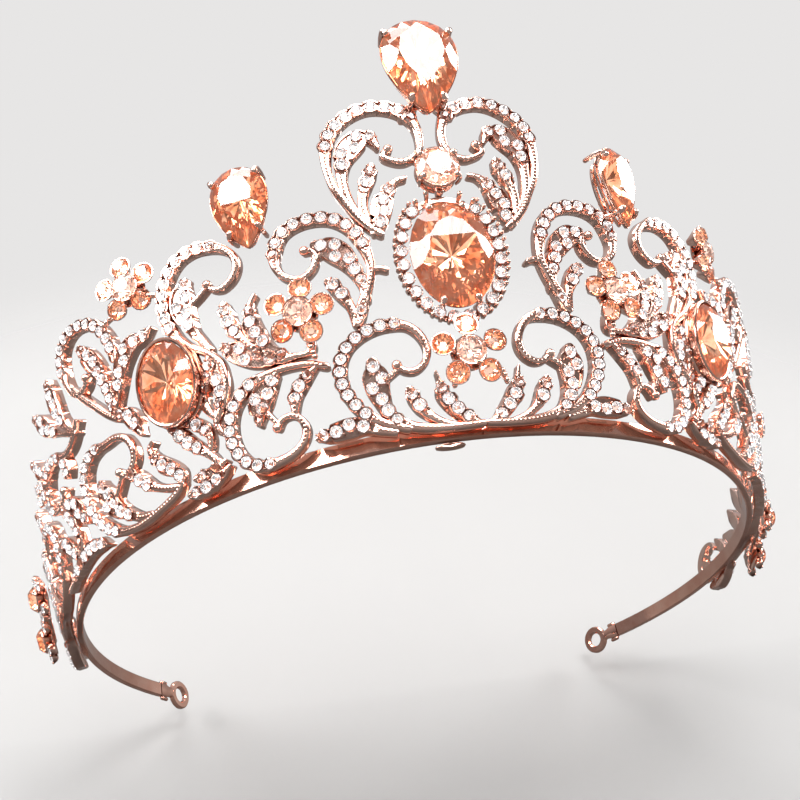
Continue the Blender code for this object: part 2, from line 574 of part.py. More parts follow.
TAIL_SCROLL = [
    (88.4, 11.6, 0.55), (89.4, 10.6, 0.45), (91.0, 10.8, 0.5), (91.8, 12.6, 0.6), (91.0, 15.0, 0.8),
    (88.8, 16.2, 1.0), (86.2, 15.6, 1.0), (84.6, 13.2, 1.0), (84.4, 10.2, 1.0), (85.2, 7.2, 0.9),
    (86.8, 4.6, 0.8), (89.4, 2.8, 0.7), (92.8, 2.0, 0.7),
]
TAIL_LEAF = [
    (95.2, 15.4, 0.5), (95.2, 13.0, 1.5), (94.8, 10.2, 1.6), (93.6, 7.4, 1.2), (91.8, 5.0, 0.8),
    (89.8, 3.2, 0.7),
]
TAIL_STEM = [
    (92.0, 2.1, 0.7), (96.0, 2.1, 0.8), (100.0, 2.4, 0.8), (104.0, 2.4, 0.8), (108.0, 2.2, 0.8),
    (112.0, 2.1, 0.8), (116.0, 2.1, 0.9), (119.4, 2.3, 0.5),
]
TAIL_FAN_LEAF = [
    (103.8, 11.8, 0.5), (102.4, 9.6, 1.5), (100.4, 7.2, 1.5), (98.4, 4.8, 1.0), (97.0, 2.8, 0.7),
]
TAIL_SMALL_LEAF = [(111.6, 8.6, 0.5), (110.2, 6.8, 1.3), (108.4, 4.8, 1.2), (107.0, 2.8, 0.7)]
TAIL_END_LEAF = [(119.0, 6.4, 0.4), (117.4, 5.2, 1.1), (115.6, 3.8, 1.0), (114.2, 2.4, 0.6)]
TAIL_TALL_LEAF = [(92.2, 22.0, 0.5), (91.6, 19.6, 1.5), (90.4, 17.4, 1.4), (89.0, 15.8, 0.9)]
TAIL_MID_LEAF = [
    (100.6, 15.4, 0.5), (99.4, 13.0, 1.5), (97.6, 10.4, 1.5), (95.6, 8.2, 1.0), (93.8, 6.8, 0.8),
]
TAIL_DROP_LEAF = [(107.4, 2.0, 0.6), (109.6, 0.6, 1.3), (112.6, -0.6, 1.5), (115.4, -0.8, 0.9)]
TAIL_FILL_LEAF = [(99.6, 3.0, 0.7), (101.8, 4.6, 1.5), (104.6, 6.2, 1.5), (107.2, 7.4, 0.8)]
TAIL_TIP_SCROLL = [
    (113.0, 7.4, 0.5), (113.8, 8.6, 0.5), (115.4, 9.2, 0.6), (117.4, 8.6, 1.0), (118.8, 7.2, 1.0),
    (119.4, 5.2, 1.0), (119.0, 3.2, 0.7),
]

HALF_CASTINGS = {
    "mid_scroll": [(1, MID_SCROLL), (1, MID_LEAF), (1, MID_LEAF_TIE), (1, MID_SPRIG), (1, MID_BAR)],
    "lower_scroll": [(1, LOWER_SCROLL), (1, LOWER_LEAF), (1, LOWER_LEAF_TIE), (1, LOWER_SPRIG),
                     (1, LOWER_POINT_LEAF), (1, LOWER_SIDE_LEAF)],
    "flower_spray": [(1, SPRAY_BIG_LEAF), (1, SPRAY_HOOK_LEAF), (1, SPRAY_SPRIG), (1, SPRAY_STEM)],
    "side_scroll": [(1, SIDE_SCROLL), (1, SIDE_LEAF), (1, SIDE_LEAF_TIE), (1, SIDE_SPLIT_OUTER),
                    (1, SIDE_SPLIT_INNER), (1, SIDE_FOOT)],
    "base_scroll": [(1, BASE_SCROLL), (1, BASE_LEAF), (1, BASE_LEAF_TIE), (1, BASE_SPRIG)],
    "oval_leaf_spray": [(1, OVAL_LEAF_OUTER), (1, OVAL_LEAF_INNER), (1, OVAL_BASE_LEAF),
                        (1, OVAL_CROSS_LEAF)],
    "far_scroll": [(1, FAR_SCROLL), (1, FAR_LEAF), (1, FAR_LEAF_TIE), (1, FAR_RIB), (1, FAR_OVAL_LEAF),
                   (1, FAR_LOW_LEAF)],
    "outer_scroll": [(1, OUTER_SCROLL), (1, OUTER_LEAF), (1, OUTER_LEAF_TIE), (1, OUTER_SPRIG),
                     (1, OUTER_HOOK_LEAF)],
    "rear_spray": [(1, REAR_RING), (1, REAR_TALL_LEAF), (1, REAR_WIDE_LEAF), (1, REAR_LOW_RIB),
                   (1, REAR_CROSS_LEAF), (1, REAR_BASE_LEAF), (1, REAR_OUTER_LEAF),
                   (1, REAR_HIGH_LEAF), (1, REAR_INNER_LEAF)],
    "tail_spray": [(1, TAIL_SCROLL), (1, TAIL_LEAF), (1, TAIL_STEM), (1, TAIL_FAN_LEAF),
                   (1, TAIL_SMALL_LEAF), (1, TAIL_END_LEAF), (1, TAIL_TALL_LEAF), (1, TAIL_MID_LEAF),
                   (1, TAIL_DROP_LEAF), (1, TAIL_TIP_SCROLL), (1, TAIL_FILL_LEAF)],
}


def scroll_castings(material):
    for name, strokes in HALF_CASTINGS.items():
        for word, side in (("left", -1), ("right", 1)):
            casting(f"{name}_{word}", [(side, steps, points) for steps, points in strokes], material)


def crest_casting(material):
    """Both crest scrolls, joined by the ring that carries the round stone."""
    strokes = [(1, 1, [(CENTRE_LINE + x, y, half) for x, y, half in CREST_STEM])]
    for side in (-1, 1):
        for steps, points in ((2, CREST_SCROLL), (1, CREST_LEAF), (1, CREST_SPRIG), (1, CREST_HOOK_LEAF),
                              (1, CREST_LUG), (1, CREST_ROUND_LINK)):
            strokes.append((side, steps, [(x + side * CENTRE_LINE, y, half) for x, y, half in points]))
    ring_outer = ellipse(7.0, 7.0, STONE_SIDES)
    ring_inner = ellipse(5.0, 5.0, STONE_SIDES)
    centre = CREST_ROUND_AT[:2]
    ring = lambda bm: add_ring(bm, ring_outer, ring_inner, SCROLL_BACK, SCROLL_FRONT - 0.8, centre)
    casting("crest_scrollwork", strokes, material, [ring])


# ---------------------------------------------------------------- settings, stones and flowers

def claw_setting(name, outline, size, frame, claws, material, depth, rise=0.8):
    """An open setting: a gallery ring under the girdle and the claws that run past it."""
    width, height = size[:2]
    outer = outline(width, height, STONE_SIDES, 0.6)
    inner = outline(width, height, STONE_SIDES, -0.1)
    builders = [lambda bm: add_ring(bm, outer, inner, -depth, -GALLERY_TOP)]
    square = ellipse(2 * CLAW_HALF, 2 * CLAW_HALF, 6)
    for share in claws:
        x, y = outline(width, height, CLAW_PLACES, 0.75)[round(share * CLAW_PLACES)]
        builders.append(
            lambda bm, cx=x, cy=y: add_plug(bm, square, -depth + 0.1, rise, 0.8, (cx, cy)))
    return flat_piece(name, builders, material, frame)


def stone(name, outline, size, sides, frame, material):
    """A faceted stone: table, crown, thin girdle and pointed pavilion."""
    width, height, crown, pavilion = size
    rim = outline(width, height, sides)
    levels = ((TABLE_SHARE, crown), (1.0, GIRDLE / 2), (1.0, -GIRDLE / 2))
    bm = bmesh.new()
    rings = [[bm.verts.new((x * share * MM, y * share * MM, z * MM)) for x, y in rim]
             for share, z in levels]
    culet = bm.verts.new((0.0, 0.0, -pavilion * MM))
    bm.faces.new(rings[0])
    for i in range(sides):
        k = (i + 1) % sides
        for upper, lower in zip(rings, rings[1:]):
            bm.faces.new((upper[i], lower[i], lower[k], upper[k]))
        bm.faces.new((rings[-1][i], culet, rings[-1][k]))
    bmesh.ops.recalc_face_normals(bm, faces=bm.faces)
    mesh = bpy.data.meshes.new(name)
    bm.to_mesh(mesh)
    bm.free()
    thing = finish_object(name, mesh, material, frame)
    mesh.shade_flat()
    return thing


def halo(material):
    """The scalloped ring of claw cups round the centre oval."""
    sides = HALO_SIDES
    width, height = CENTRE_OVAL[:2]
    inner = ellipse(width, height, sides, 0.3)
    outer = []
    for i, (x, y) in enumerate(ellipse(width, height, sides, 2.0)):
        share = 1.04 if i % 2 else 0.96
        outer.append((x * share, y * share))
    frame = face_frame(CENTRE_LINE, HALO_UP, 0.0)
    return flat_piece("centre_halo", [lambda bm: add_ring(bm, outer, inner, 0.4, 1.9)], material, frame)


def oval_bezel(name, side, metal):
    """A plain double rim round a side oval."""
    width, height = SIDE_OVAL[:2]
    outer = ellipse(width, height, STONE_SIDES, 1.1)
    waist = ellipse(width, height, STONE_SIDES, 0.7)
    inner = ellipse(width, height, STONE_SIDES, 0.3)
    across, up, out = SIDE_OVAL_AT
    frame = face_frame(side * across, up, out)
    builders = [
        lambda bm: add_ring(bm, outer, inner, -1.2, -0.5),
        lambda bm: add_ring(bm, waist, inner, -0.8, 0.35),
    ]
    return flat_piece(name, builders, metal, frame)


def flower(name, place, side, turn, ring, metal):
    """Five petal cups round a centre ring."""
    across, up, out = place
    frame = face_frame(side * across, up, out)
    cup = ellipse(2 * PETAL_RADIUS, 2 * PETAL_RADIUS, 10)
    centre_outer = ellipse(2 * ring - 2.0, 2 * ring - 2.0, SMALL_STONE_SIDES)
    centre_inner = ellipse(2.6, 2.6, SMALL_STONE_SIDES)
    builders = [lambda bm: add_ring(bm, centre_outer, centre_inner, PETAL_BACK, PETAL_BACK + 0.4)]
    for k in range(PETALS):
        angle = math.radians(turn) + k * 2 * math.pi / PETALS
        x = side * ring * math.cos(angle)
        y = ring * math.sin(angle)
        drop = 0.02 * k
        builders.append(
            lambda bm, cx=x, cy=y, d=drop:
            add_plug(bm, cup, PETAL_BACK + d, PETAL_FRONT + d, 0.8, (cx, cy)))
    return flat_piece(name, builders, metal, frame)


def rear_flower(name, side, metal):
    """Four small round cups that touch, standing out of the rear spray."""
    across, up, out = REAR_FLOWER_AT
    frame = face_frame(side * across, up, out)
    cup = ellipse(REAR_PETAL, REAR_PETAL, SMALL_STONE_SIDES)
    hub = ellipse(2.0, 2.0, SMALL_STONE_SIDES)
    builders = [lambda bm: add_plug(bm, hub, PETAL_BACK, PETAL_BACK + 0.6)]
    for k in range(REAR_PETALS):
        angle = (k + 0.5) * 2 * math.pi / REAR_PETALS
        x = REAR_PETAL_RING * math.cos(angle)
        y = REAR_PETAL_RING * math.sin(angle)
        drop = 0.02 * k
        builders.append(
            lambda bm, cx=x, cy=y, d=drop:
            add_plug(bm, cup, PETAL_BACK + d, PETAL_FRONT + d, 0.9, (cx, cy)))
    return flat_piece(name, builders, metal, frame)


def rear_cups(name, side, metal):
    """Two rosettes on one bar, low behind the ear: a round collet with five small cups each."""
    width = REAR_ROUND[0]
    outer = ellipse(width, width, STONE_SIDES, 0.3)
    inner = ellipse(width, width, STONE_SIDES, -0.6)
    places = [(side * across, up) for across, up, _ in REAR_ROUNDS_AT]
    cup = ellipse(REAR_PETAL, REAR_PETAL, SMALL_STONE_SIDES)
    low = REAR_ROUNDS_AT[0][2] - CUP_DROP
    high = low + CUP_HEIGHT
    builders = []
    for k, centre in enumerate(places):
        builders.append(
            lambda bm, at=centre, d=0.02 * k: add_ring(bm, outer, inner, low + d, high + d, at))
        for n in range(ROSETTE_CUPS):
            angle = math.pi / 2 + n * 2 * math.pi / ROSETTE_CUPS
            at = (centre[0] + ROSETTE_RING * math.cos(angle), centre[1] + ROSETTE_RING * math.sin(angle))
            drop = 0.1 + 0.02 * n + 0.01 * k
            builders.append(
                lambda bm, at=at, d=drop: add_plug(bm, cup, low + d, high + d, 0.9, at))
    (ax, ay), (bx, by) = places
    share = width / 2 / math.hypot(bx - ax, by - ay)
    bar = [(ax + (bx - ax) * share, ay + (by - ay) * share, CUP_BAR_HALF),
           (bx - (bx - ax) * share, by - (by - ay) * share, CUP_BAR_HALF)]
    builders.append(lambda bm: add_stroke(bm, bar, low + 0.2, high - 0.3, 1, 1))
    mesh = welded(builders)
    bend(mesh)
    return finish_object(name, mesh, metal)


def settings_and_stones(metal, crystal):
    oval_frame = face_frame(*CENTRE_OVAL_AT)
    claw_setting("centre_oval_setting", ellipse, CENTRE_OVAL, oval_frame,
                 (0.18, 0.32, 0.68, 0.82), metal, 0.9)
    stone("centre_oval_stone", ellipse, CENTRE_OVAL, STONE_SIDES, oval_frame, crystal)
    pear_frame = face_frame(*CREST_PEAR_AT)
    claw_setting("crest_pear_setting", pear, CREST_PEAR, pear_frame,
                 (0.12, 0.37, 0.63, 0.88), metal, 1.45)
    stone("crest_pear_stone", pear, CREST_PEAR, STONE_SIDES, pear_frame, crystal)
    round_frame = face_frame(*CREST_ROUND_AT)
    claw_setting("crest_round_setting", ellipse, CREST_ROUND, round_frame,
                 (0.1, 0.4, 0.6, 0.9), metal, 0.85, 0.6)
    stone("crest_round_stone", ellipse, CREST_ROUND, STONE_SIDES, round_frame, crystal)
    for word, place, turn, roll in SIDE_PEARS:
        frame = face_frame(*place) @ Matrix.Rotation(turn, 4, "Y") @ Matrix.Rotation(roll, 4, "Z")
        claw_setting(f"side_pear_setting_{word}", pear, SIDE_PEAR, frame,
                     (0.14, 0.38, 0.62, 0.86), metal, 1.45)
        stone(f"side_pear_stone_{word}", pear, SIDE_PEAR, STONE_SIDES, frame, crystal)
    for word, side in (("left", -1), ("right", 1)):
        frame = face_frame(side * SIDE_OVAL_AT[0], *SIDE_OVAL_AT[1:])
        oval_bezel(f"side_oval_bezel_{word}", side, metal)
        stone(f"side_oval_stone_{word}", ellipse, SIDE_OVAL, STONE_SIDES, frame, crystal)
    flower("lower_flower", LOWER_FLOWER_AT, 1, 90.0, LOWER_PETAL_RING, metal)
    stone("lower_flower_stone", ellipse, FLOWER_ROUND, SMALL_STONE_SIDES,
          face_frame(*LOWER_FLOWER_AT), crystal)
    for word, side in (("left", -1), ("right", 1)):
        for name, place, turn in (("mid_flower", MID_FLOWER_AT, 33.0), ("top_flower", TOP_FLOWER_AT, 90.0)):
            flower(f"{name}_{word}", place, side, turn, PETAL_RING, metal)
            frame = face_frame(side * place[0], *place[1:])
            stone(f"{name}_stone_{word}", ellipse, FLOWER_ROUND, SMALL_STONE_SIDES, frame, crystal)
        rear_flower(f"rear_flower_{word}", side, metal)
        rear_cups(f"rear_cups_{word}", side, metal)
        for rank, place in zip(("upper", "lower"), REAR_ROUNDS_AT):
            frame = face_frame(side * place[0], *place[1:])
            stone(f"rear_round_{rank}_{word}", ellipse, REAR_ROUND, SMALL_STONE_SIDES, frame, crystal)


def stand_on_origin():
    """Moves everything so that the whole tiara's box stands centred on the origin."""
    bpy.context.view_layer.update()
    places = [thing.matrix_world @ vert.co for thing in bpy.data.objects for vert in thing.data.vertices]
    low = Vector(min(place[k] for place in places) for k in range(3))
    high = Vector(max(place[k] for place in places) for k in range(3))
    shift = Vector((-(low.x + high.x) / 2, -(low.y + high.y) / 2, -low.z))
    for thing in bpy.data.objects:
        thing.location += shift


def main():
    for thing in list(bpy.data.objects):
        bpy.data.objects.remove(thing)
    metal = metal_material()
    crystal = crystal_material()
    head_rail(metal)
    end_loop("end_loop_left", -1, metal)
    end_loop("end_loop_right", 1, metal)
    solder_tab(metal)
    crest_casting(metal)
    scroll_castings(metal)
    halo(metal)
    settings_and_stones(metal, crystal)
    stand_on_origin()


main()
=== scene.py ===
"""Looks of the bridal tiara: swept castings with pave, claw-set crystals and a sprung head rail.

Flat places have three numbers in millimetres: across (along the rail from the front centre,
+ to the wearer's left), up (up the leaning face) and out (out of the face).
"""

import math
import random

import bmesh
import bpy
import numpy as np
from mathutils import Matrix, Vector

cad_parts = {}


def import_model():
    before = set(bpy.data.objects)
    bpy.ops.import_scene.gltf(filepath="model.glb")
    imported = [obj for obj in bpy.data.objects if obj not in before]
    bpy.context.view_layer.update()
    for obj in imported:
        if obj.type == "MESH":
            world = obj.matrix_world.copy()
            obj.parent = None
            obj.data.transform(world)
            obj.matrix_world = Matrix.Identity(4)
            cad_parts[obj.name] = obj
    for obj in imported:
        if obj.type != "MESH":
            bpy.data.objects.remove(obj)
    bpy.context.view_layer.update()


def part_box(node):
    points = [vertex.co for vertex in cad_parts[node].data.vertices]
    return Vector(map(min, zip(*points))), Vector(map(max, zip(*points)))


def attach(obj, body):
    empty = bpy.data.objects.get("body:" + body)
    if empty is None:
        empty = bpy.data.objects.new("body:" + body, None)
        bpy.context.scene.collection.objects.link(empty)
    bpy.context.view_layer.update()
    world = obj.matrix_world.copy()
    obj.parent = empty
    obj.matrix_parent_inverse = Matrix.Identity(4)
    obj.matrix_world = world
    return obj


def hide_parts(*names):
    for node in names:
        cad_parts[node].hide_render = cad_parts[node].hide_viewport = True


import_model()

MM = 0.001
RAIL_RADIUS = 67.9
RAIL_THICKNESS = 1.2
RAIL_HEIGHT = 3.0
RAIL_SWEEP = 148.0
LEAN = math.radians(13.0)
RAIL_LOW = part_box("head_rail")[0]
SHIFT = Vector((0.0, RAIL_LOW.y + RAIL_RADIUS * MM, RAIL_LOW.z))
UP = Vector((0.0, 0.0, 1.0))
SIDES = (("left", -1), ("right", 1))

SCROLL_BACK = 0.3
SCROLL_FRONT = 2.4
PAVE_RADIUS = 0.98
PAVE_FROM = 0.88                    # a stroke at least this half width carries stones
PAVE_WALL = 0.1                     # metal beside the stones
PAVE_END = 0.55                     # no stone's centre is nearer to a stroke's end
PAVE_PAIR = 0.42                    # with this much room to either side, stones sit in pairs
PAVE_PITCH = 0.965                  # stones stand this share of their radii apart, and the gap
PAVE_GAP = 0.07
CHANNEL_FROM = 0.8                  # the rim turns from a dome to a channel from this half width
CHANNEL_BLEND = 0.12                # to this much more
SCALLOP_BELOW = 1.35                # narrower channels have a rim that follows each stone
SCALLOP_RADIUS = 1.16
SCALLOP_WAIST = 0.78
BEADS_BELOW = 0.84                  # a stroke narrower than this has a line of beads
BEAD_PITCH = 0.62
CURL_POINTS = 12                    # a stroke with more points and one of these tips is a curl
CURL_HALVES = (0.55, 0.5, 0.6)
CURL_BEAD = 0.82
LAYER_STEP = 0.02                   # each stroke of a casting lies this much lower than the last
SHARP_ANGLE = math.radians(42)

# Stones: width, height, crown and pavilion depth, girdle, and the table's share of the outline
CENTRE_OVAL = (13.6, 18.4, 2.3, 3.4, 0.3, 0.6)
CENTRE_OVAL_SEAT = (13.0, 18.0)
CREST_PEAR = (13.0, 18.0, 2.2, 3.4, 0.3, 0.6)
SIDE_PEAR = (9.6, 14.4, 1.8, 2.8, 0.3, 0.6)
SIDE_OVAL = (10.4, 13.8, 2.0, 2.6, 0.3, 0.6)
CREST_ROUND = (7.2, 7.2, 1.5, 2.4, 0.3, 0.6)
FLOWER_ROUND = (4.6, 4.6, 1.2, 1.5, 0.2, 0.58)
PETAL_ROUND = (3.5, 3.5, 0.9, 1.2, 0.14, 0.56)
REAR_ROUND = (4.8, 4.8, 1.2, 1.4, 0.2, 0.58)
HALO_ROUND = (1.86, 1.86, 0.5, 0.6, 0.08, 0.56)
CUP_ROUND = (2.0, 2.0, 0.5, 0.6, 0.08, 0.56)

# Where they sit: across, up, out; the side pears also have a turn about Y and a roll about Z
CENTRE_LINE = -1.0                  # the middle ornaments stand a little off the rail's middle
CENTRE_OVAL_AT = (CENTRE_LINE, 29.3, 3.0)
HALO_UP = 29.9
CREST_PEAR_AT = (CENTRE_LINE, 63.5, 4.2)
CREST_ROUND_AT = (CENTRE_LINE, 44.9, 3.3)
SIDE_PEARS = (("left", (-28.2, 43.8, 4.3), 0.0, 0.0), ("right", (26.4, 43.5, 4.6), 0.32, 0.22))
SIDE_OVAL_AT = (45.0, 20.6, 3.9)
LOWER_FLOWER_AT = (CENTRE_LINE, 12.7, 4.0)
MID_FLOWER_AT = (23.5, 23.8, 4.0)
TOP_FLOWER_AT = (48.8, 40.4, 3.0)
TOP_FLOWER_TURN = 0.22
REAR_ROUNDS_AT = ((95.5, 6.5, 5.8), (103.5, 1.6, 5.8))
REAR_FLOWER_AT = (81.0, 20.0, 4.0)
PETAL_RING = 3.9
LOWER_PETAL_RING = 4.3
PETALS = 5
ROSETTE_CUPS = 5
ROSETTE_RING = 3.5
REAR_PETALS = 4
REAR_PETAL_RING = 1.5
CUP_TILT = 0.08

random.seed(7)


# ---------------------------------------------------------------- placing

def on_face(across, up, out):
    """The place in metres of a flat place in millimetres."""
    angle = across / RAIL_RADIUS
    reach = RAIL_RADIUS + out * math.cos(LEAN) + up * math.sin(LEAN)
    height = up * math.cos(LEAN) - out * math.sin(LEAN)
    return Vector((reach * math.sin(angle), -reach * math.cos(angle), height)) * MM + SHIFT


def directions(across):
    """The directions along the rail and out of it."""
    angle = across / RAIL_RADIUS
    return Vector((math.cos(angle), math.sin(angle), 0.0)), Vector((math.sin(angle), -math.cos(angle), 0.0))


def frame_of(x, y, z, place):
    """A frame in millimetres, from its three directions and its place in metres."""
    matrix = (Matrix((x, y, z)).transposed() * MM).to_4x4()
    matrix.translation = place
    return matrix


def face_frame(across, up, out):
    """A frame on the face: X across, Y up the face, Z out of it."""
    along, radial = directions(across)
    rise = radial * math.sin(LEAN) + UP * math.cos(LEAN)
    return frame_of(along, rise, along.cross(rise), on_face(across, up, out))


def rail_frame(across, up=0.0, out=0.0):
    """A frame on the upright rail's outer face: X along, Y up, Z out."""
    along, radial = directions(across)
    return frame_of(along, UP, radial, (radial * (RAIL_RADIUS + out) + UP * up) * MM + SHIFT)


# ---------------------------------------------------------------- shapes

class Shape:
    """Corners in metres and faces, with a material number for each face."""

    def __init__(self):
        self.corners = []
        self.faces = []
        self.kinds = []

    def add(self, corners, faces):
        base = len(self.corners)
        self.corners.extend(corners)
        self.faces.extend([tuple(base + i for i in face) for face in faces])
        self.kinds.extend([0] * len(faces))

    def skin(self, sections, closed):
        """Joins rings of corners with quads; an open row is capped."""
        count = len(sections)
        width = len(sections[0])
        faces = []
        for i in range(count if closed else count - 1):
            k = (i + 1) % count
            for j in range(width):
                m = (j + 1) % width
                faces.append((i * width + j, i * width + m, k * width + m, k * width + j))
        if not closed:
            faces.append(tuple(range(width)))
            faces.append(tuple((count - 1) * width + j for j in range(width)))
        self.add([corner for section in sections for corner in section], faces)

    def lathe(self, place, profile, sides, squash=1.0):
        """Turns a profile of (radius, height) about the Z of a place; both ends are closed."""
        sections = []
        for radius, height in profile:
            ring = []
            for j in range(sides):
                t = 2 * math.pi * j / sides
                ring.append(place @ Vector((radius * math.cos(t), squash * radius * math.sin(t), height)))
            sections.append(ring)
        self.skin(sections, False)

    def bead(self, place, radius, height=None, sides=8, rings=3):
        """A domed bead that stands on the XY plane of a place."""
        height = radius if height is None else height
        profile = [(radius * 0.9, -radius * 0.6)]
        for i in range(rings + 1):
            t = math.radians(88) * i / rings
            profile.append((radius * math.cos(t), height * math.sin(t)))
        self.lathe(place, profile, sides)

    def tube(self, points, radii, sides=8):
        """A round wire through points in metres, with rounded ends."""
        sections = []
        last = len(points) - 1
        side = None
        for i, point in enumerate(points):
            run = (points[min(i + 1, last)] - points[max(i - 1, 0)]).normalized()
            side = run.orthogonal() if side is None else side - run * side.dot(run)
            side.normalize()
            other = run.cross(side)
            caps = []
            if i == 0:
                caps = [(-0.9, 0.4), (-0.5, 0.85)]
            row = [(0.0, 1.0)]
            if i == last:
                row = [(0.0, 1.0), (0.5, 0.85), (0.9, 0.4)]
            for ahead, share in caps + row:
                ring = []
                for j in range(sides):
                    t = 2 * math.pi * j / sides
                    spoke = side * math.cos(t) + other * math.sin(t)
                    ring.append(point + run * (ahead * radii[i] * MM) + spoke * (share * radii[i] * MM))
                sections.append(ring)
        self.skin(sections, False)


def build(name, shape, material, stands_for=(), foil=None):
    """Turns a shape into a piece of the tiara's one body: smooth metal or, with a foil, flat-cut stones."""
    mesh = bpy.data.meshes.new(name)
    mesh.from_pydata([tuple(c) for c in shape.corners], [], shape.faces)
    for used in (material, foil) if foil else (material,):
        mesh.materials.append(used)
    mesh.polygons.foreach_set("material_index", shape.kinds)
    bm = bmesh.new()
    bm.from_mesh(mesh)
    bmesh.ops.recalc_face_normals(bm, faces=bm.faces)
    bm.to_mesh(mesh)
    bm.free()
    if foil:
        mesh.shade_flat()
    else:
        mesh.shade_smooth()
        mesh.set_sharp_from_angle(angle=SHARP_ANGLE)
    piece = bpy.data.objects.new(name, mesh)
    bpy.context.collection.objects.link(piece)
    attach(piece, "root")
    if stands_for:
        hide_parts(*stands_for)


# ---------------------------------------------------------------- scroll castings (half patterns)

def read_strokes(text):
    """Strokes from lines of "name: across up half-width, ..."; a line without a name goes on."""
    strokes = []
    for line in text.strip().splitlines():
        if ":" in line:
            strokes.append([])
        points = line.split(":")[-1].strip(" ,").split(",")
        strokes[-1] += [tuple(float(number) for number in point.split()) for point in points]
    return strokes


# Strokes of one side, each from its tip to its foot
CREST_STROKES = read_strokes("""
scroll: 6.2 49.5 0.6, 7.1 48.4 0.45, 5.9 47.4 0.45, 4.4 47.0 0.5, 2.9 47.6 0.5, 1.9 49.0 0.55,
    1.6 51.2 0.6, 1.9 53.6 0.7, 2.9 55.7 1.0, 5.0 57.2 1.0, 7.8 57.8 1.0, 10.5 57.0 1.0, 12.9 55.1 1.0,
    14.3 52.7 1.0, 14.8 50.0 0.8, 14.9 47.2 0.6, 14.4 44.0 0.6, 13.2 41.0 0.65, 12.0 38.2 0.65,
    10.6 36.0 0.65, 9.3 34.7 0.6
leaf: 7.6 50.3 0.4, 8.5 52.2 1.0, 10.1 52.0 1.7, 11.7 50.4 1.8, 12.7 48.2 1.2, 13.1 45.4 0.75,
    13.0 42.6 0.7, 12.4 39.8 0.7, 11.0 37.4 0.7
sprig: 9.0 46.6 0.7, 9.4 45.3 1.1, 10.2 43.5 1.05, 10.8 41.4 0.75, 11.0 39.4 0.7, 10.8 37.2 0.7
hook leaf: 4.7 43.9 0.4, 5.8 43.6 0.5, 7.0 42.4 0.9, 8.1 40.4 1.5, 8.7 38.4 1.5, 9.1 36.4 1.0,
    10.0 35.2 0.7
lug: 3.2 55.6 0.9, 1.8 57.2 0.8
round link: 2.9 47.6 0.5, 2.0 46.9 0.5
""")
CREST_STEM = [(0.0, 42.1, 0.6), (0.0, 41.2, 0.6)]
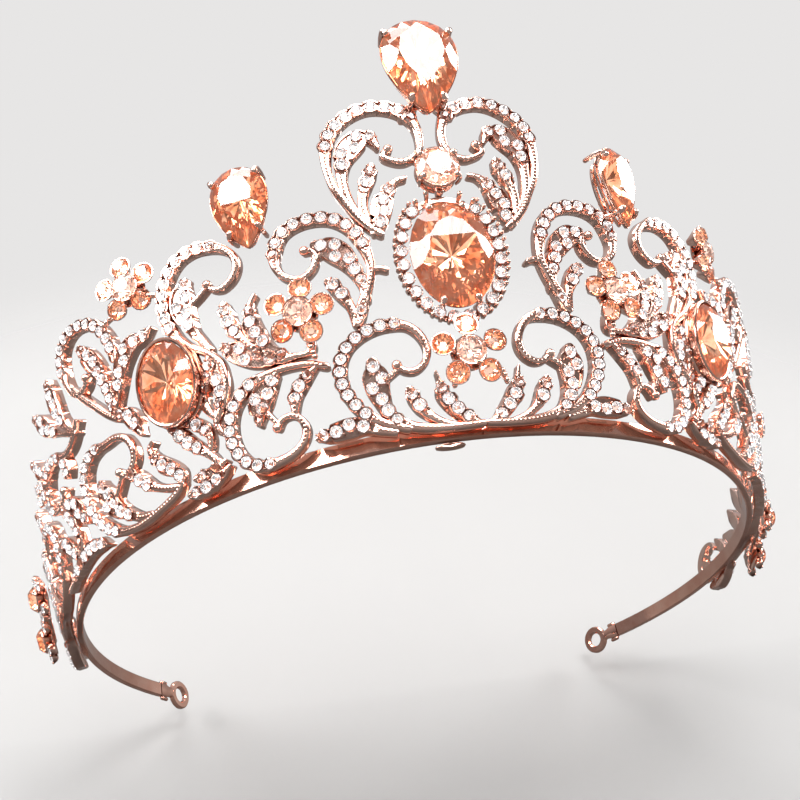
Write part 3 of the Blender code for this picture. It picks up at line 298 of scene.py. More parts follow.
HALF_CASTINGS = {
    "mid_scroll": read_strokes("""
scroll: 21.2 34.3 0.5, 20.2 34.0 0.4, 19.8 32.5 0.45, 20.6 30.9 0.5, 22.1 29.9 0.5, 23.8 30.2 0.55,
    25.1 31.5 0.6, 25.7 33.6 0.7, 25.3 36.0 1.0, 24.0 38.2 1.0, 21.9 39.3 1.0, 19.3 39.5 1.0,
    16.8 38.8 1.0, 14.7 37.0 1.0, 13.4 34.6 1.0, 12.7 31.8 0.8, 12.5 29.0 0.6, 13.2 26.4 0.65,
    14.3 23.9 0.8, 15.2 21.6 0.9, 15.8 20.4 0.8
leaf: 19.4 34.7 0.9, 17.9 34.0 1.75, 16.4 32.4 1.85, 15.3 30.4 1.35, 14.4 28.2 1.0, 13.9 26.0 0.8,
    14.0 24.0 0.8
leaf tie: 20.2 32.6 0.35, 19.0 33.0 0.35
sprig: 18.6 28.0 0.8, 18.0 27.2 1.1, 17.1 25.3 1.05, 16.4 23.4 0.7, 16.0 21.6 0.8, 15.9 20.4 0.8
bar: 12.7 28.6 0.5, 11.6 28.8 0.45, 10.5 28.4 0.5
"""),
    "lower_scroll": read_strokes("""
scroll: 11.5 12.3 0.55, 10.6 11.3 0.45, 9.2 11.0 0.5, 7.9 11.7 0.5, 7.0 13.1 0.55, 6.9 15.0 0.6,
    7.7 17.0 0.65, 9.2 18.5 0.7, 11.3 19.1 0.95, 13.6 19.0 1.0, 15.9 18.2 1.0, 17.9 16.8 1.0,
    19.2 14.8 1.0, 19.7 12.5 1.0, 19.5 10.2 1.0, 18.7 8.0 1.0, 17.5 6.0 1.0, 15.9 4.5 0.8, 14.0 3.2 0.7,
    11.6 2.2 0.7
leaf: 14.9 13.3 0.9, 14.8 11.3 1.9, 14.8 9.2 1.8, 14.4 7.0 1.35, 13.7 5.0 1.1, 12.4 3.3 0.9, 10.0 2.1 0.75,
    6.5 1.5 0.6, 3.0 1.4 0.55, 0.5 1.5 0.5
leaf tie: 11.3 11.7 0.4, 13.4 10.3 0.4
sprig: 10.3 8.0 0.7, 9.9 6.8 1.1, 9.1 5.0 1.05, 7.9 3.5 0.7, 6.2 2.2 0.6, 4.4 1.6 0.5
point leaf: 6.2 10.3 0.2, 5.9 8.7 0.4, 5.6 7.0 1.25, 4.6 5.1 1.35, 3.2 3.4 1.15, 1.7 2.1 0.7, 0.6 1.4 0.4
side leaf: 24.8 3.6 0.3, 23.6 3.8 1.1, 21.8 3.9 1.5, 19.5 4.0 1.6, 17.6 3.7 1.2, 15.8 2.8 0.8, 13.6 2.0 0.6
"""),
    "flower_spray": read_strokes("""
big leaf: 35.7 22.8 0.4, 34.6 21.8 1.5, 33.0 20.5 1.8, 31.2 19.2 1.7, 29.2 18.2 1.2, 27.2 17.6 0.8,
    25.6 17.5 0.6
hook leaf: 29.5 29.3 0.4, 30.2 28.3 0.5, 30.8 26.3 1.2, 30.7 24.1 1.5, 29.9 22.0 1.3, 28.8 20.0 1.0,
    27.4 18.4 0.9, 26.2 17.5 0.7
sprig: 34.2 29.4 0.8, 34.2 27.6 1.25, 33.9 25.7 1.1, 33.0 23.6 0.8, 31.8 21.6 0.8, 30.2 19.8 0.8,
    28.8 18.8 0.7
stem: 23.0 20.0 0.6, 22.9 18.2 0.7, 23.6 17.4 0.5, 26.0 17.5 0.45
"""),
    "side_scroll": read_strokes("""
scroll: 36.0 34.1 0.5, 35.5 33.1 0.45, 34.1 32.6 0.5, 32.4 33.4 0.5, 31.3 35.0 0.55, 31.2 37.0 0.6,
    32.4 39.0 0.7, 34.4 40.4 0.9, 37.0 41.1 1.0, 39.6 40.6 1.0, 41.7 38.9 1.0, 43.2 36.4 1.0,
    43.8 33.4 1.0, 43.6 30.4 1.0, 42.3 27.3 0.75, 40.4 24.8 0.65, 38.2 22.9 0.65, 36.8 20.8 0.6,
    36.4 18.4 0.55, 36.6 16.0 0.5, 37.6 14.0 0.5, 38.9 12.4 0.6
leaf: 39.3 36.2 0.7, 40.3 34.5 1.7, 40.7 32.0 1.8, 40.3 29.5 1.3, 39.8 27.6 0.9, 38.9 25.6 0.8,
    38.0 23.6 0.7
leaf tie: 36.4 33.7 0.4, 38.0 32.6 0.35, 39.4 32.0 0.4
split outer: 38.2 22.2 0.6, 39.2 19.6 1.25, 40.6 17.2 1.15, 40.7 15.0 0.8, 39.9 13.2 0.6, 39.1 12.2 0.6
split inner: 37.6 21.4 0.7, 37.8 18.6 1.3, 37.6 16.2 1.2, 38.1 13.8 0.9, 39.0 12.0 0.6
foot: 39.0 12.8 0.6, 39.4 11.0 0.55, 39.0 9.6 0.5
"""),
    "base_scroll": read_strokes("""
scroll: 30.2 7.1 0.55, 29.2 8.2 0.45, 27.6 8.3 0.5, 26.4 7.1 0.55, 26.1 5.4 0.6, 26.9 3.7 0.6,
    28.7 2.5 0.65, 31.0 2.0 0.75, 33.4 2.1 1.0, 35.4 3.0 1.0, 36.8 4.8 1.0, 37.5 7.2 1.0, 37.4 9.8 1.0,
    36.5 12.2 1.0, 34.9 14.0 1.0, 32.8 15.3 1.0, 30.6 15.9 0.75, 28.2 16.1 0.65, 26.0 16.0 0.6,
    23.7 15.6 0.6, 21.5 14.6 0.6
leaf: 29.1 15.2 0.8, 30.5 13.8 1.5, 31.8 12.3 1.9, 32.5 10.4 1.5, 32.8 8.6 0.5
leaf tie: 30.0 7.6 0.4, 30.8 9.0 0.4, 31.6 10.4 0.5
sprig: 23.2 14.6 0.5, 24.9 13.4 1.05, 26.5 11.6 1.1, 27.0 9.8 0.7, 27.2 8.6 0.5
"""),
    "oval_leaf_spray": read_strokes("""
leaf outer: 46.8 14.4 1.0, 46.1 12.3 1.25, 44.8 10.3 1.25, 43.1 8.6 0.95, 41.6 7.0 0.7, 40.8 5.6 0.6,
    41.2 4.2 0.6
leaf inner: 44.6 14.2 0.8, 43.3 13.0 1.15, 41.6 11.4 1.0, 40.9 9.6 0.6, 41.2 8.0 0.5, 41.9 7.0 0.5
base leaf: 46.1 2.1 0.8, 44.2 2.1 1.1, 42.0 2.5 1.05, 40.2 3.2 0.9, 38.9 3.9 0.4
cross leaf: 44.6 4.2 0.7, 43.0 4.2 1.0, 41.2 4.4 1.0, 39.4 5.0 0.4
"""),
    "far_scroll": read_strokes("""
scroll: 61.4 30.8 0.5, 62.2 29.5 0.45, 64.1 29.2 0.5, 65.7 30.6 0.55, 66.6 33.0 0.6, 66.9 35.8 0.95,
    66.2 38.4 1.0, 64.3 40.1 1.0, 61.8 40.6 1.0, 59.2 39.9 1.0, 57.0 38.3 1.0, 55.5 35.9 1.0,
    54.7 33.2 1.0, 54.6 30.6 0.9
leaf: 61.2 36.4 0.6, 60.2 34.2 1.5, 59.1 31.8 1.6, 58.2 29.4 1.3, 57.5 26.8 1.0, 57.2 24.2 0.9,
    57.0 21.8 0.9
leaf tie: 61.6 30.4 0.4, 60.2 30.6 0.4, 59.0 31.0 0.5
rib: 65.4 30.9 0.6, 63.4 28.0 0.7, 61.0 25.0 0.7, 58.8 22.3 0.7, 57.0 20.6 0.7
oval leaf: 46.8 31.7 0.4, 48.4 31.0 1.1, 50.6 31.0 1.5, 52.6 29.8 1.7, 54.0 27.7 1.4, 55.1 25.4 1.1,
    56.3 23.2 0.9, 57.0 21.4 0.8
low leaf: 56.8 21.0 0.7, 55.2 20.6 1.2, 54.0 19.0 1.5, 53.4 17.2 1.2, 52.9 15.6 0.4
"""),
    "outer_scroll": read_strokes("""
scroll: 59.2 11.8 0.6, 58.6 10.9 0.5, 57.0 11.0 0.5, 55.6 12.3 0.55, 55.3 14.4 0.6, 56.3 16.6 0.65,
    58.5 17.8 0.65, 61.2 17.9 0.7, 63.6 18.2 0.9, 66.2 17.6 1.0, 68.0 15.8 1.0, 68.7 13.4 1.0,
    68.6 10.8 1.0, 67.7 8.2 1.0, 66.2 5.9 1.0, 64.2 4.0 1.0, 61.6 2.6 0.8, 58.6 1.9 0.65, 55.6 1.9 0.6,
    52.6 2.4 0.55, 49.6 3.2 0.6, 47.6 4.4 0.5
leaf: 64.2 12.2 0.7, 63.9 10.2 1.75, 62.9 8.0 1.85, 61.2 6.0 1.4, 59.2 4.4 1.0, 57.0 3.0 0.8, 54.6 2.4 0.6
leaf tie: 58.9 11.0 0.4, 60.2 9.6 0.4, 61.4 8.4 0.5
sprig: 57.3 10.6 0.5, 56.2 9.7 1.2, 54.7 7.9 1.25, 52.8 6.3 0.8, 50.6 5.1 0.7, 48.4 4.4 0.6
hook leaf: 51.3 13.2 0.4, 52.0 12.4 0.45, 51.4 10.6 0.9, 50.3 9.0 1.35, 48.8 7.6 1.35, 47.6 6.2 1.1,
    47.6 4.6 0.6
"""),
    "rear_spray": read_strokes("""
ring: 75.4 17.0 0.5, 76.4 16.0 0.45, 78.2 15.2 0.5, 80.6 15.8 0.8, 82.4 17.8 1.0, 82.6 20.4 1.0,
    81.0 22.8 1.0, 78.4 23.8 1.0, 75.4 23.4 0.9, 72.8 22.4 0.8, 70.4 22.4 0.6, 68.4 23.6 0.6, 66.6 25.4 0.5
tall leaf: 71.8 36.6 0.6, 71.8 34.4 1.4, 71.6 31.6 1.5, 70.8 28.8 1.0, 69.4 26.0 0.8, 67.8 24.0 0.7
wide leaf: 79.2 34.0 0.6, 77.8 32.2 1.6, 76.0 30.0 1.6, 73.6 27.8 1.0, 71.0 26.0 0.8, 68.6 24.4 0.7
low rib: 78.8 15.6 0.6, 76.8 13.2 1.0, 75.2 10.8 1.0, 74.6 8.2 0.9, 74.9 5.6 0.8, 76.6 3.4 0.7
cross leaf: 70.6 8.6 0.5, 71.9 11.2 1.5, 73.9 13.4 1.5, 76.4 15.0 1.0, 78.6 15.8 0.6
base leaf: 66.9 2.6 0.4, 68.8 3.6 1.2, 71.6 4.0 1.4, 74.4 3.8 1.4, 77.4 3.2 1.2, 80.6 2.4 0.8, 84.0 2.0 0.7
outer leaf: 82.6 10.8 0.5, 81.0 9.4 1.4, 79.0 7.6 1.5, 77.0 5.6 1.1, 76.4 3.6 0.7
high leaf: 86.2 29.0 0.5, 84.8 26.8 1.5, 82.8 24.6 1.5, 80.8 23.0 1.0
inner leaf: 73.2 18.6 0.5, 73.0 20.0 1.3, 73.4 21.6 1.2, 74.2 23.0 0.8
"""),
    "tail_spray": read_strokes("""
scroll: 88.4 11.6 0.55, 89.4 10.6 0.45, 91.0 10.8 0.5, 91.8 12.6 0.6, 91.0 15.0 0.8, 88.8 16.2 1.0,
    86.2 15.6 1.0, 84.6 13.2 1.0, 84.4 10.2 1.0, 85.2 7.2 0.9, 86.8 4.6 0.8, 89.4 2.8 0.7, 92.8 2.0 0.7
leaf: 95.2 15.4 0.5, 95.2 13.0 1.5, 94.8 10.2 1.6, 93.6 7.4 1.2, 91.8 5.0 0.8, 89.8 3.2 0.7
stem: 92.0 2.1 0.7, 96.0 2.1 0.8, 100.0 2.4 0.8, 104.0 2.4 0.8, 108.0 2.2 0.8, 112.0 2.1 0.8,
    116.0 2.1 0.9, 119.4 2.3 0.5
fan leaf: 103.8 11.8 0.5, 102.4 9.6 1.5, 100.4 7.2 1.5, 98.4 4.8 1.0, 97.0 2.8 0.7
small leaf: 111.6 8.6 0.5, 110.2 6.8 1.3, 108.4 4.8 1.2, 107.0 2.8 0.7
end leaf: 119.0 6.4 0.4, 117.4 5.2 1.1, 115.6 3.8 1.0, 114.2 2.4 0.6
tall leaf: 92.2 22.0 0.5, 91.6 19.6 1.5, 90.4 17.4 1.4, 89.0 15.8 0.9
mid leaf: 100.6 15.4 0.5, 99.4 13.0 1.5, 97.6 10.4 1.5, 95.6 8.2 1.0, 93.8 6.8 0.8
drop leaf: 107.4 2.0 0.6, 109.6 0.6 1.3, 112.6 -0.6 1.5, 115.4 -0.8 0.9
tip scroll: 113.0 7.4 0.5, 113.8 8.6 0.5, 115.4 9.2 0.6, 117.4 8.6 1.0, 118.8 7.2 1.0, 119.4 5.2 1.0,
    119.0 3.2 0.7
fill leaf: 99.6 3.0 0.7, 101.8 4.6 1.5, 104.6 6.2 1.5, 107.2 7.4 0.8
"""),
}


# ---------------------------------------------------------------- materials

class Nodes:
    """Short calls for building a node tree."""

    def __init__(self, tree):
        self.tree = tree
        self.tree.nodes.clear()

    def make(self, kind, **settings):
        """A new node; a setting is a property or, with _ for a space, an input."""
        node = self.tree.nodes.new(kind)
        for key, value in settings.items():
            if hasattr(node, key):
                setattr(node, key, value)
            else:
                node.inputs[key.replace("_", " ")].default_value = value
        return node

    def link(self, start, end):
        self.tree.links.new(start, end)

    def noise(self, scale, detail=4.0, roughness=0.55):
        where = self.make("ShaderNodeTexCoord")
        noise = self.make("ShaderNodeTexNoise", Scale=scale, Detail=detail, Roughness=roughness)
        self.link(where.outputs["Object"], noise.inputs["Vector"])
        return noise.outputs["Fac"]

    def ramp(self, source, stops):
        ramp = self.make("ShaderNodeValToRGB")
        points = ramp.color_ramp.elements
        while len(points) < len(stops):
            points.new(0.5)
        for point, (place, colour) in zip(points, stops):
            point.position = place
            point.color = (*colour, 1.0)
        self.link(source, ramp.inputs["Fac"])
        return ramp.outputs["Color"]

    def spread(self, source, low, high):
        """Maps 0.3-0.7 of a noise to low-high."""
        node = self.make("ShaderNodeMapRange", From_Min=0.3, From_Max=0.7, To_Min=low, To_Max=high)
        self.link(source, node.inputs["Value"])
        return node.outputs["Result"]

    def to_share(self, source):
        """Maps -1..1 to 0..1."""
        node = self.make("ShaderNodeMath", operation="MULTIPLY_ADD")
        self.link(source, node.inputs[0])
        node.inputs[1].default_value = 0.5
        node.inputs[2].default_value = 0.5
        return node.outputs[0]

    def bump(self, source, strength, distance):
        node = self.make("ShaderNodeBump", Strength=strength, Distance=distance)
        self.link(source, node.inputs["Height"])
        return node.outputs["Normal"]

    def highest(self, one, other):
        """The greater of two values."""
        node = self.make("ShaderNodeMath", operation="MAXIMUM")
        self.link(one, node.inputs[0])
        self.link(other, node.inputs[1])
        return node.outputs[0]

    def mix_shaders(self, share, start, end):
        """The end shader's share over the start shader."""
        node = self.make("ShaderNodeMixShader")
        for source, socket in zip((share, start, end), node.inputs):
            self.link(source, socket)
        return node.outputs[0]

    def finish(self, shader, kind="ShaderNodeOutputMaterial"):
        """Wires a shader to a new output."""
        self.link(shader, self.make(kind).inputs["Surface"])


def new_material(name, **settings):
    """A material, its nodes and its main shader with the settings."""
    material = bpy.data.materials.new(name)
    material.use_nodes = True
    nodes = Nodes(material.node_tree)
    return material, nodes, nodes.make("ShaderNodeBsdfPrincipled", **settings)


def metal_material(name, light, deep, rough_low, rough_high, hammer):
    """Plated metal: slow colour drift, painted shade darkening the crevices, uneven polish, a finely cast
    surface.
    """
    material, nodes, shader = new_material(name, Metallic=1.0)
    nodes.finish(shader.outputs["BSDF"])
    drift = nodes.ramp(nodes.noise(260.0), ((0.3, deep), (0.62, light)))
    # Painted shade: ambient occlusion darkens the base colour where crevices and recesses would be in shade
    crevice_occlusion = nodes.make("ShaderNodeAmbientOcclusion", samples=6, Distance=0.0009)
    crevice_shade_factor = nodes.ramp(crevice_occlusion.outputs["AO"], ((0.2, (0.42, 0.24, 0.18)), (0.7, (1.0, 1.0, 1.0))))
    painted_crevice_shade = nodes.make("ShaderNodeMix", data_type="RGBA", blend_type="MULTIPLY", Factor=1.0)
    nodes.link(drift, painted_crevice_shade.inputs[6])
    nodes.link(crevice_shade_factor, painted_crevice_shade.inputs[7])
    nodes.link(painted_crevice_shade.outputs[2], shader.inputs["Base Color"])
    nodes.link(nodes.spread(nodes.noise(900.0, 5.0), rough_low, rough_high), shader.inputs["Roughness"])
    nodes.link(nodes.bump(nodes.noise(1500.0, 3.0), hammer, 0.00006), shader.inputs["Normal"])
    return material


def glass_material(name, light, deep, ior):
    """The clear crown of a cut stone, with faint tint drift and handling marks."""
    material, nodes, shader = new_material(name, IOR=ior, Transmission_Weight=1.0)
    nodes.finish(shader.outputs["BSDF"])
    nodes.link(nodes.ramp(nodes.noise(180.0), ((0.35, deep), (0.65, light))), shader.inputs["Base Color"])
    nodes.link(nodes.spread(nodes.noise(2200.0), 0.0, 0.012), shader.inputs["Roughness"])
    return material


def foil_material(name, light, deep, rough_high, painted_glow):
    """The mirror foil behind a cut stone, with painted light: an emission in the foil's tint that stands in
    for the light many inner bounces would bring; the last argument sets its strength.
    """
    # Painted light: the foil glows by emission, though it is no lamp
    material, nodes, shader = new_material(name, Metallic=1.0, Emission_Strength=painted_glow)
    nodes.finish(shader.outputs["BSDF"])
    tint = nodes.ramp(nodes.noise(420.0), ((0.35, deep), (0.65, light)))
    nodes.link(tint, shader.inputs["Base Color"])
    # The painted glow takes the foil's tint
    nodes.link(tint, shader.inputs["Emission Color"])
    nodes.link(nodes.spread(nodes.noise(1600.0), 0.01, rough_high), shader.inputs["Roughness"])
    return material


METAL = metal_material("rose_gold_cast", (0.99, 0.69, 0.58), (0.90, 0.52, 0.41), 0.10, 0.22, 0.3)
POLISHED = metal_material("rose_gold_polished", (0.93, 0.55, 0.43), (0.84, 0.43, 0.32), 0.07, 0.16, 0.1)
CLEAR = glass_material("clear_crown", (1.0, 1.0, 1.0), (0.98, 0.97, 0.97), 1.7)
# Each foil's last number is the strength of its painted glow
SILVER = foil_material("silver_foil", (0.99, 0.97, 0.97), (0.92, 0.88, 0.88), 0.05, 0.14)
PEACH = glass_material("peach_crown", (1.0, 0.93, 0.87), (1.0, 0.88, 0.80), 1.62)
COPPER = foil_material("peach_foil", (1.0, 0.62, 0.44), (0.96, 0.36, 0.18), 0.06, 0.17)
PALE_PEACH = glass_material("pale_peach_crown", (1.0, 0.98, 0.96), (1.0, 0.95, 0.92), 1.62)
PALE_COPPER = foil_material("pale_peach_foil", (1.0, 0.80, 0.71), (0.97, 0.60, 0.48), 0.06, 0.18)


# ---------------------------------------------------------------- swept castings

def smooth(points, steps=8):
    """A Catmull-Rom curve through points of (across, up, half width)."""
    path = []
    last = len(points) - 1
    for i in range(last):
        before = points[max(i - 1, 0)]
        start = points[i]
        end = points[i + 1]
        after = points[min(i + 2, last)]
        for k in range(steps):
            t = k / steps
            path.append(tuple(
                0.5 * (2 * q + (r - p) * t + (2 * p - 5 * q + 4 * r - s) * t ** 2
                       + (3 * q - p - 3 * r + s) * t ** 3)
                for p, q, r, s in zip(before, start, end, after)))
    path.append(points[-1])
    return path


class Stroke:
    """A stroke resampled at even steps, with its direction and the stones it carries."""

    STEP = 0.33

    def __init__(self, points, side, lift):
        """Points of (across, up, half width); side is -1 for the left, and lift raises the rim."""
        raw = np.array(smooth(points))
        gaps = np.hypot(np.diff(raw[:, 0]), np.diff(raw[:, 1]))
        length = np.concatenate(([0.0], np.cumsum(gaps)))
        self.count = max(4, int(length[-1] / self.STEP))
        self.along = np.linspace(0.0, length[-1], self.count + 1)
        self.x = side * np.interp(self.along, length, raw[:, 0])
        self.y = np.interp(self.along, length, raw[:, 1])
        self.half = np.interp(self.along, length, raw[:, 2])
        dx = np.gradient(self.x)
        dy = np.gradient(self.y)
        size = np.hypot(dx, dy)
        self.dx = dx / size
        self.dy = dy / size
        self.lift = lift
        self.side = side
        self.curls = len(points) > CURL_POINTS and points[0][2] in CURL_HALVES
        self.stones = []            # (step, offset, radius)

    def at(self, i, offset=0.0):
        """The flat place of a step, an offset to its left."""
        return (self.x[i] - self.dy[i] * offset, self.y[i] + self.dx[i] * offset)

    def set_stones(self, taken):
        """Places stones along the stroke, side by side where it is wide, clear of those taken."""
        for i in range(self.count + 1):
            half = self.half[i]
            end_room = min(self.along[i], self.along[-1] - self.along[i])
            if half < PAVE_FROM or end_room < PAVE_END:
                continue
            radius = min(PAVE_RADIUS, half - PAVE_WALL)
            spread = half - PAVE_WALL - radius
            for offset in (0.0,) if spread < PAVE_PAIR else (spread, -spread):
                place = self.at(i, offset)
                if all(math.hypot(place[0] - x, place[1] - y) > PAVE_PITCH * (radius + r) + PAVE_GAP
                       for x, y, r in taken):
                    taken.append((*place, radius))
                    self.stones.append((i, offset, radius))

    def section(self, i, ahead, share):
        """The rim of the stroke at a step: a channel where it carries stones, domed elsewhere."""
        half = self.half[i]
        pave = min(max((half - CHANNEL_FROM) / CHANNEL_BLEND, 0.0), 1.0)
        edge = half
        if pave > 0 and half < SCALLOP_BELOW and self.stones:
            near = min(abs(self.along[i] - self.along[k]) for k, _, _ in self.stones)
            bulge = math.sqrt(max(SCALLOP_RADIUS ** 2 - near ** 2, 0.0))
            edge = half + (max(bulge, SCALLOP_WAIST) - half) * pave
        edge *= share
        half *= share
        rim = SCROLL_FRONT + self.lift
        low = SCROLL_BACK
        dome = 0.5 * min(half, 0.8)
        shoulder = rim - dome * (1 - pave) - 0.12 * pave
        corners = [
            (-0.8 * half, low), (-half, low + 0.25), (-edge, shoulder),
            (-(0.82 * half) * (1 - pave) - (edge - 0.09 * share) * pave, rim - 0.35 * dome * (1 - pave)),
            (-(0.45 * half) * (1 - pave) - (edge - 0.24 * share) * pave, rim - 0.06 * dome * (1 - pave)),
            (-(0.2 * half) * (1 - pave) - (edge - 0.32 * share) * pave, rim - 0.42 * pave * share),
        ]
        corners += [(-u, z) for u, z in reversed(corners)]
        ring = []
        cx = self.x[i] + self.dx[i] * ahead
        cy = self.y[i] + self.dy[i] * ahead
        for u, z in corners:
            ring.append(on_face(cx - self.dy[i] * u, cy + self.dx[i] * u, z))
        return ring

    def add_body(self, shape):
        """The swept metal, with rounded ends."""
        sections = []
        first = self.half[0]
        last = self.half[-1]
        for turn in (80, 50, 25):
            t = math.radians(turn)
            sections.append(self.section(0, -first * math.sin(t), math.cos(t)))
        for i in range(self.count + 1):
            sections.append(self.section(i, 0.0, 1.0))
        for turn in (25, 50, 80):
            t = math.radians(turn)
            sections.append(self.section(self.count, last * math.sin(t), math.cos(t)))
        shape.skin(sections, False)

    def add_grains(self, shape, taken):
        """Claws between the stones, and a beaded line along the plain stretches."""
        rim = SCROLL_FRONT + self.lift
        wait = 0.0
        for i in range(1, self.count):
            half = self.half[i]
            wait += self.STEP
            if half < BEADS_BELOW and wait > BEAD_PITCH:
                wait = 0.0
                x, y = self.at(i)
                if all(math.hypot(x - a, y - b) > r + 0.2 for a, b, r in taken):
                    size = min(0.3, 0.5 * half)
                    shape.bead(face_frame(x, y, rim - 0.1), size, 0.8 * size, 6, 2)
        for n, (i, offset, radius) in enumerate(self.stones):
            spots = [(1.05, 0.68), (1.05, -0.68)]
            if n == 0:
                spots += [(-0.95, 0.6), (-0.95, -0.6)]
            for ahead, aside in spots:
                aside = offset + aside * radius
                limit = self.half[i] - 0.05
                aside = max(-limit, min(limit, aside))
                x = self.x[i] + self.dx[i] * ahead * radius - self.dy[i] * aside
                y = self.y[i] + self.dy[i] * ahead * radius + self.dx[i] * aside
                shape.bead(face_frame(x, y, rim), 0.19, 0.3, 6, 2)


def add_brilliant(shape, place, rim_at, centre, sides, crown, pavilion, girdle, table):
    """A cut stone: table, star, kite and girdle facets over a foiled pavilion.

    rim_at(t) gives the outline for t from 0 to 1, centre is where the culet lies, and table is the
    table's share of the outline. The crown gets material 0 and the foiled back material 1.
    """
    def ring(shift, share, height, count=sides):
        corners = []
        for k in range(count):
            x, y = rim_at(((k + shift) / count) % 1.0)
            corners.append(place @ Vector((centre[0] + (x - centre[0]) * share,
                                           centre[1] + (y - centre[1]) * share, height)))
        return corners

    n = sides
    top = ring(0.0, table, crown)
    mid = ring(0.5, 0.5 + 0.5 * table, 0.62 * crown)
    high = ring(0.0, 1.0, girdle / 2, 2 * n)
    low = ring(0.0, 1.0, -girdle / 2, 2 * n)
    keel = ring(0.5, 0.42, -0.66 * pavilion)
    corners = top + mid + high + low + keel + [place @ Vector((*centre, -pavilion))]
    mid_0, high_0, low_0, keel_0, culet = n, 2 * n, 4 * n, 6 * n, 7 * n
    crown_faces = [tuple(range(n))]
    foil_faces = []
    for k in range(n):
        m = (k + 1) % n
        crown_faces.append((k, mid_0 + k, m))
        crown_faces.append((m, mid_0 + k, high_0 + (2 * m) % (2 * n), mid_0 + m))
        crown_faces.append((mid_0 + k, high_0 + 2 * k, high_0 + 2 * k + 1))
        crown_faces.append((mid_0 + k, high_0 + 2 * k + 1, high_0 + (2 * m) % (2 * n)))
        foil_faces.append((keel_0 + k, low_0 + 2 * k + 1, low_0 + 2 * k))
        foil_faces.append((keel_0 + k, low_0 + (2 * m) % (2 * n), low_0 + 2 * k + 1))
        foil_faces.append((culet, keel_0 + k, low_0 + (2 * m) % (2 * n), keel_0 + m))
    for k in range(2 * n):
        m = (k + 1) % (2 * n)
        foil_faces.append((high_0 + k, low_0 + k, low_0 + m, high_0 + m))
    shape.add(corners, crown_faces + foil_faces)
    shape.kinds[-len(foil_faces):] = [1] * len(foil_faces)


def oval_rim(width, height, grow=0.0):
    """An ellipse as a function of t from 0 to 1."""
    def rim(t):
        a = 2 * math.pi * t
        return ((width / 2 + grow) * math.cos(a), (height / 2 + grow) * math.sin(a))
    return rim


def pear_rim(width, height, grow=0.0):
    """A teardrop with its point down."""
    fullness = 0.72
    widest = max(math.sin(k / 100) * math.sin(k / 200) ** fullness for k in range(1, 314))

    def rim(t):
        a = 2 * math.pi * t
        swell = math.sin(a) * abs(math.sin(a / 2)) ** fullness / widest
        return ((width / 2 + grow) * swell, -(height / 2 + grow) * math.cos(a))
    return rim


def tilted(place, amount):
    """A place turned a little, as hand-set stones are."""
    turn = Matrix.Rotation(random.uniform(-amount, amount), 4, "X")
    turn @= Matrix.Rotation(random.uniform(-amount, amount), 4, "Y")
    turn @= Matrix.Rotation(random.uniform(0, 1), 4, "Z")
    return place @ turn


def add_pave(shape, x, y, out, radius):
    """A small clear stone of a casting, set a little askew."""
    size = (2 * radius, 2 * radius, 0.52 * radius, 0.62 * radius, 0.08, 0.56)
    add_round(shape, tilted(face_frame(x, y, out), 0.09), size, 7)


def add_round(shape, place, size, sides=8):
    """A cut stone whose culet lies in the middle."""
    add_brilliant(shape, place, oval_rim(*size[:2]), (0.0, 0.0), sides, *size[2:])


def castings():
    """Every casting with the stones set in it."""
    taken = {-1: [], 1: []}
    jobs = [(f"{name}_{word}", [(side, points) for points in strokes])
            for name, strokes in HALF_CASTINGS.items() for word, side in SIDES]
    crest = [(side, [(x + side * CENTRE_LINE, y, half) for x, y, half in points])
             for side in (-1, 1) for points in CREST_STROKES]
    crest.append((1, [(CENTRE_LINE + x, y, half) for x, y, half in CREST_STEM]))
    jobs.append(("crest_scrollwork", crest))
    for name, strokes in jobs:
        made = [Stroke(points, side, -LAYER_STEP * i) for i, (side, points) in enumerate(strokes)]
        for stroke in made:
            stroke.set_stones(taken[stroke.side])
        metal = Shape()
        stones = Shape()
        for stroke in made:
            stroke.add_body(metal)
            stroke.add_grains(metal, taken[stroke.side])
            if stroke.curls:
                metal.bead(face_frame(*stroke.at(0), SCROLL_FRONT - 0.35), CURL_BEAD, 0.8, 14, 4)
            for i, offset, radius in stroke.stones:
                add_pave(stones, *stroke.at(i, offset), SCROLL_FRONT + stroke.lift + 0.03, radius)
        if name == "crest_scrollwork":
            add_gallery(metal, face_frame(*CREST_ROUND_AT[:2], 0.0), oval_rim(6.0, 6.0),
                        ((0.6, 0.5), (1.5, 0.5)))
        build(f"{name}_cast", metal, METAL, [name])
        if stones.faces:
            build(f"{name}_pave", stones, CLEAR, foil=SILVER)


# ---------------------------------------------------------------- settings

def add_gallery(shape, place, rim_at, rings):
    """Round wires that follow an outline: (height, wire radius) each."""
    turns = [2 * math.pi * j / 8 for j in range(8)]
    for height, wire in rings:
        levels = [(wire * math.cos(t), height + wire * math.sin(t)) for t in turns]
        add_collar(shape, place, rim_at, levels, 48)


def add_collar(shape, place, rim_at, levels, sides=64):
    """A thin wall that follows an outline: levels of (grow, height), from outside round to inside."""
    sections = []
    for k in range(sides):
        x, y = rim_at(k / sides)
        a, b = rim_at(((k + 0.5) / sides) % 1.0)
        c, d = rim_at(((k - 0.5) / sides) % 1.0)
        run = Vector((a - c, b - d, 0.0)).normalized()
        away = run.cross(UP)
        sections.append([place @ (Vector((x, y, height)) + away * grow)
                         for grow, height in levels])
    shape.skin(sections, True)


CLAW_TOP = 0.75
CLAW_REACH = 0.35
CLAW_TIP = 0.62


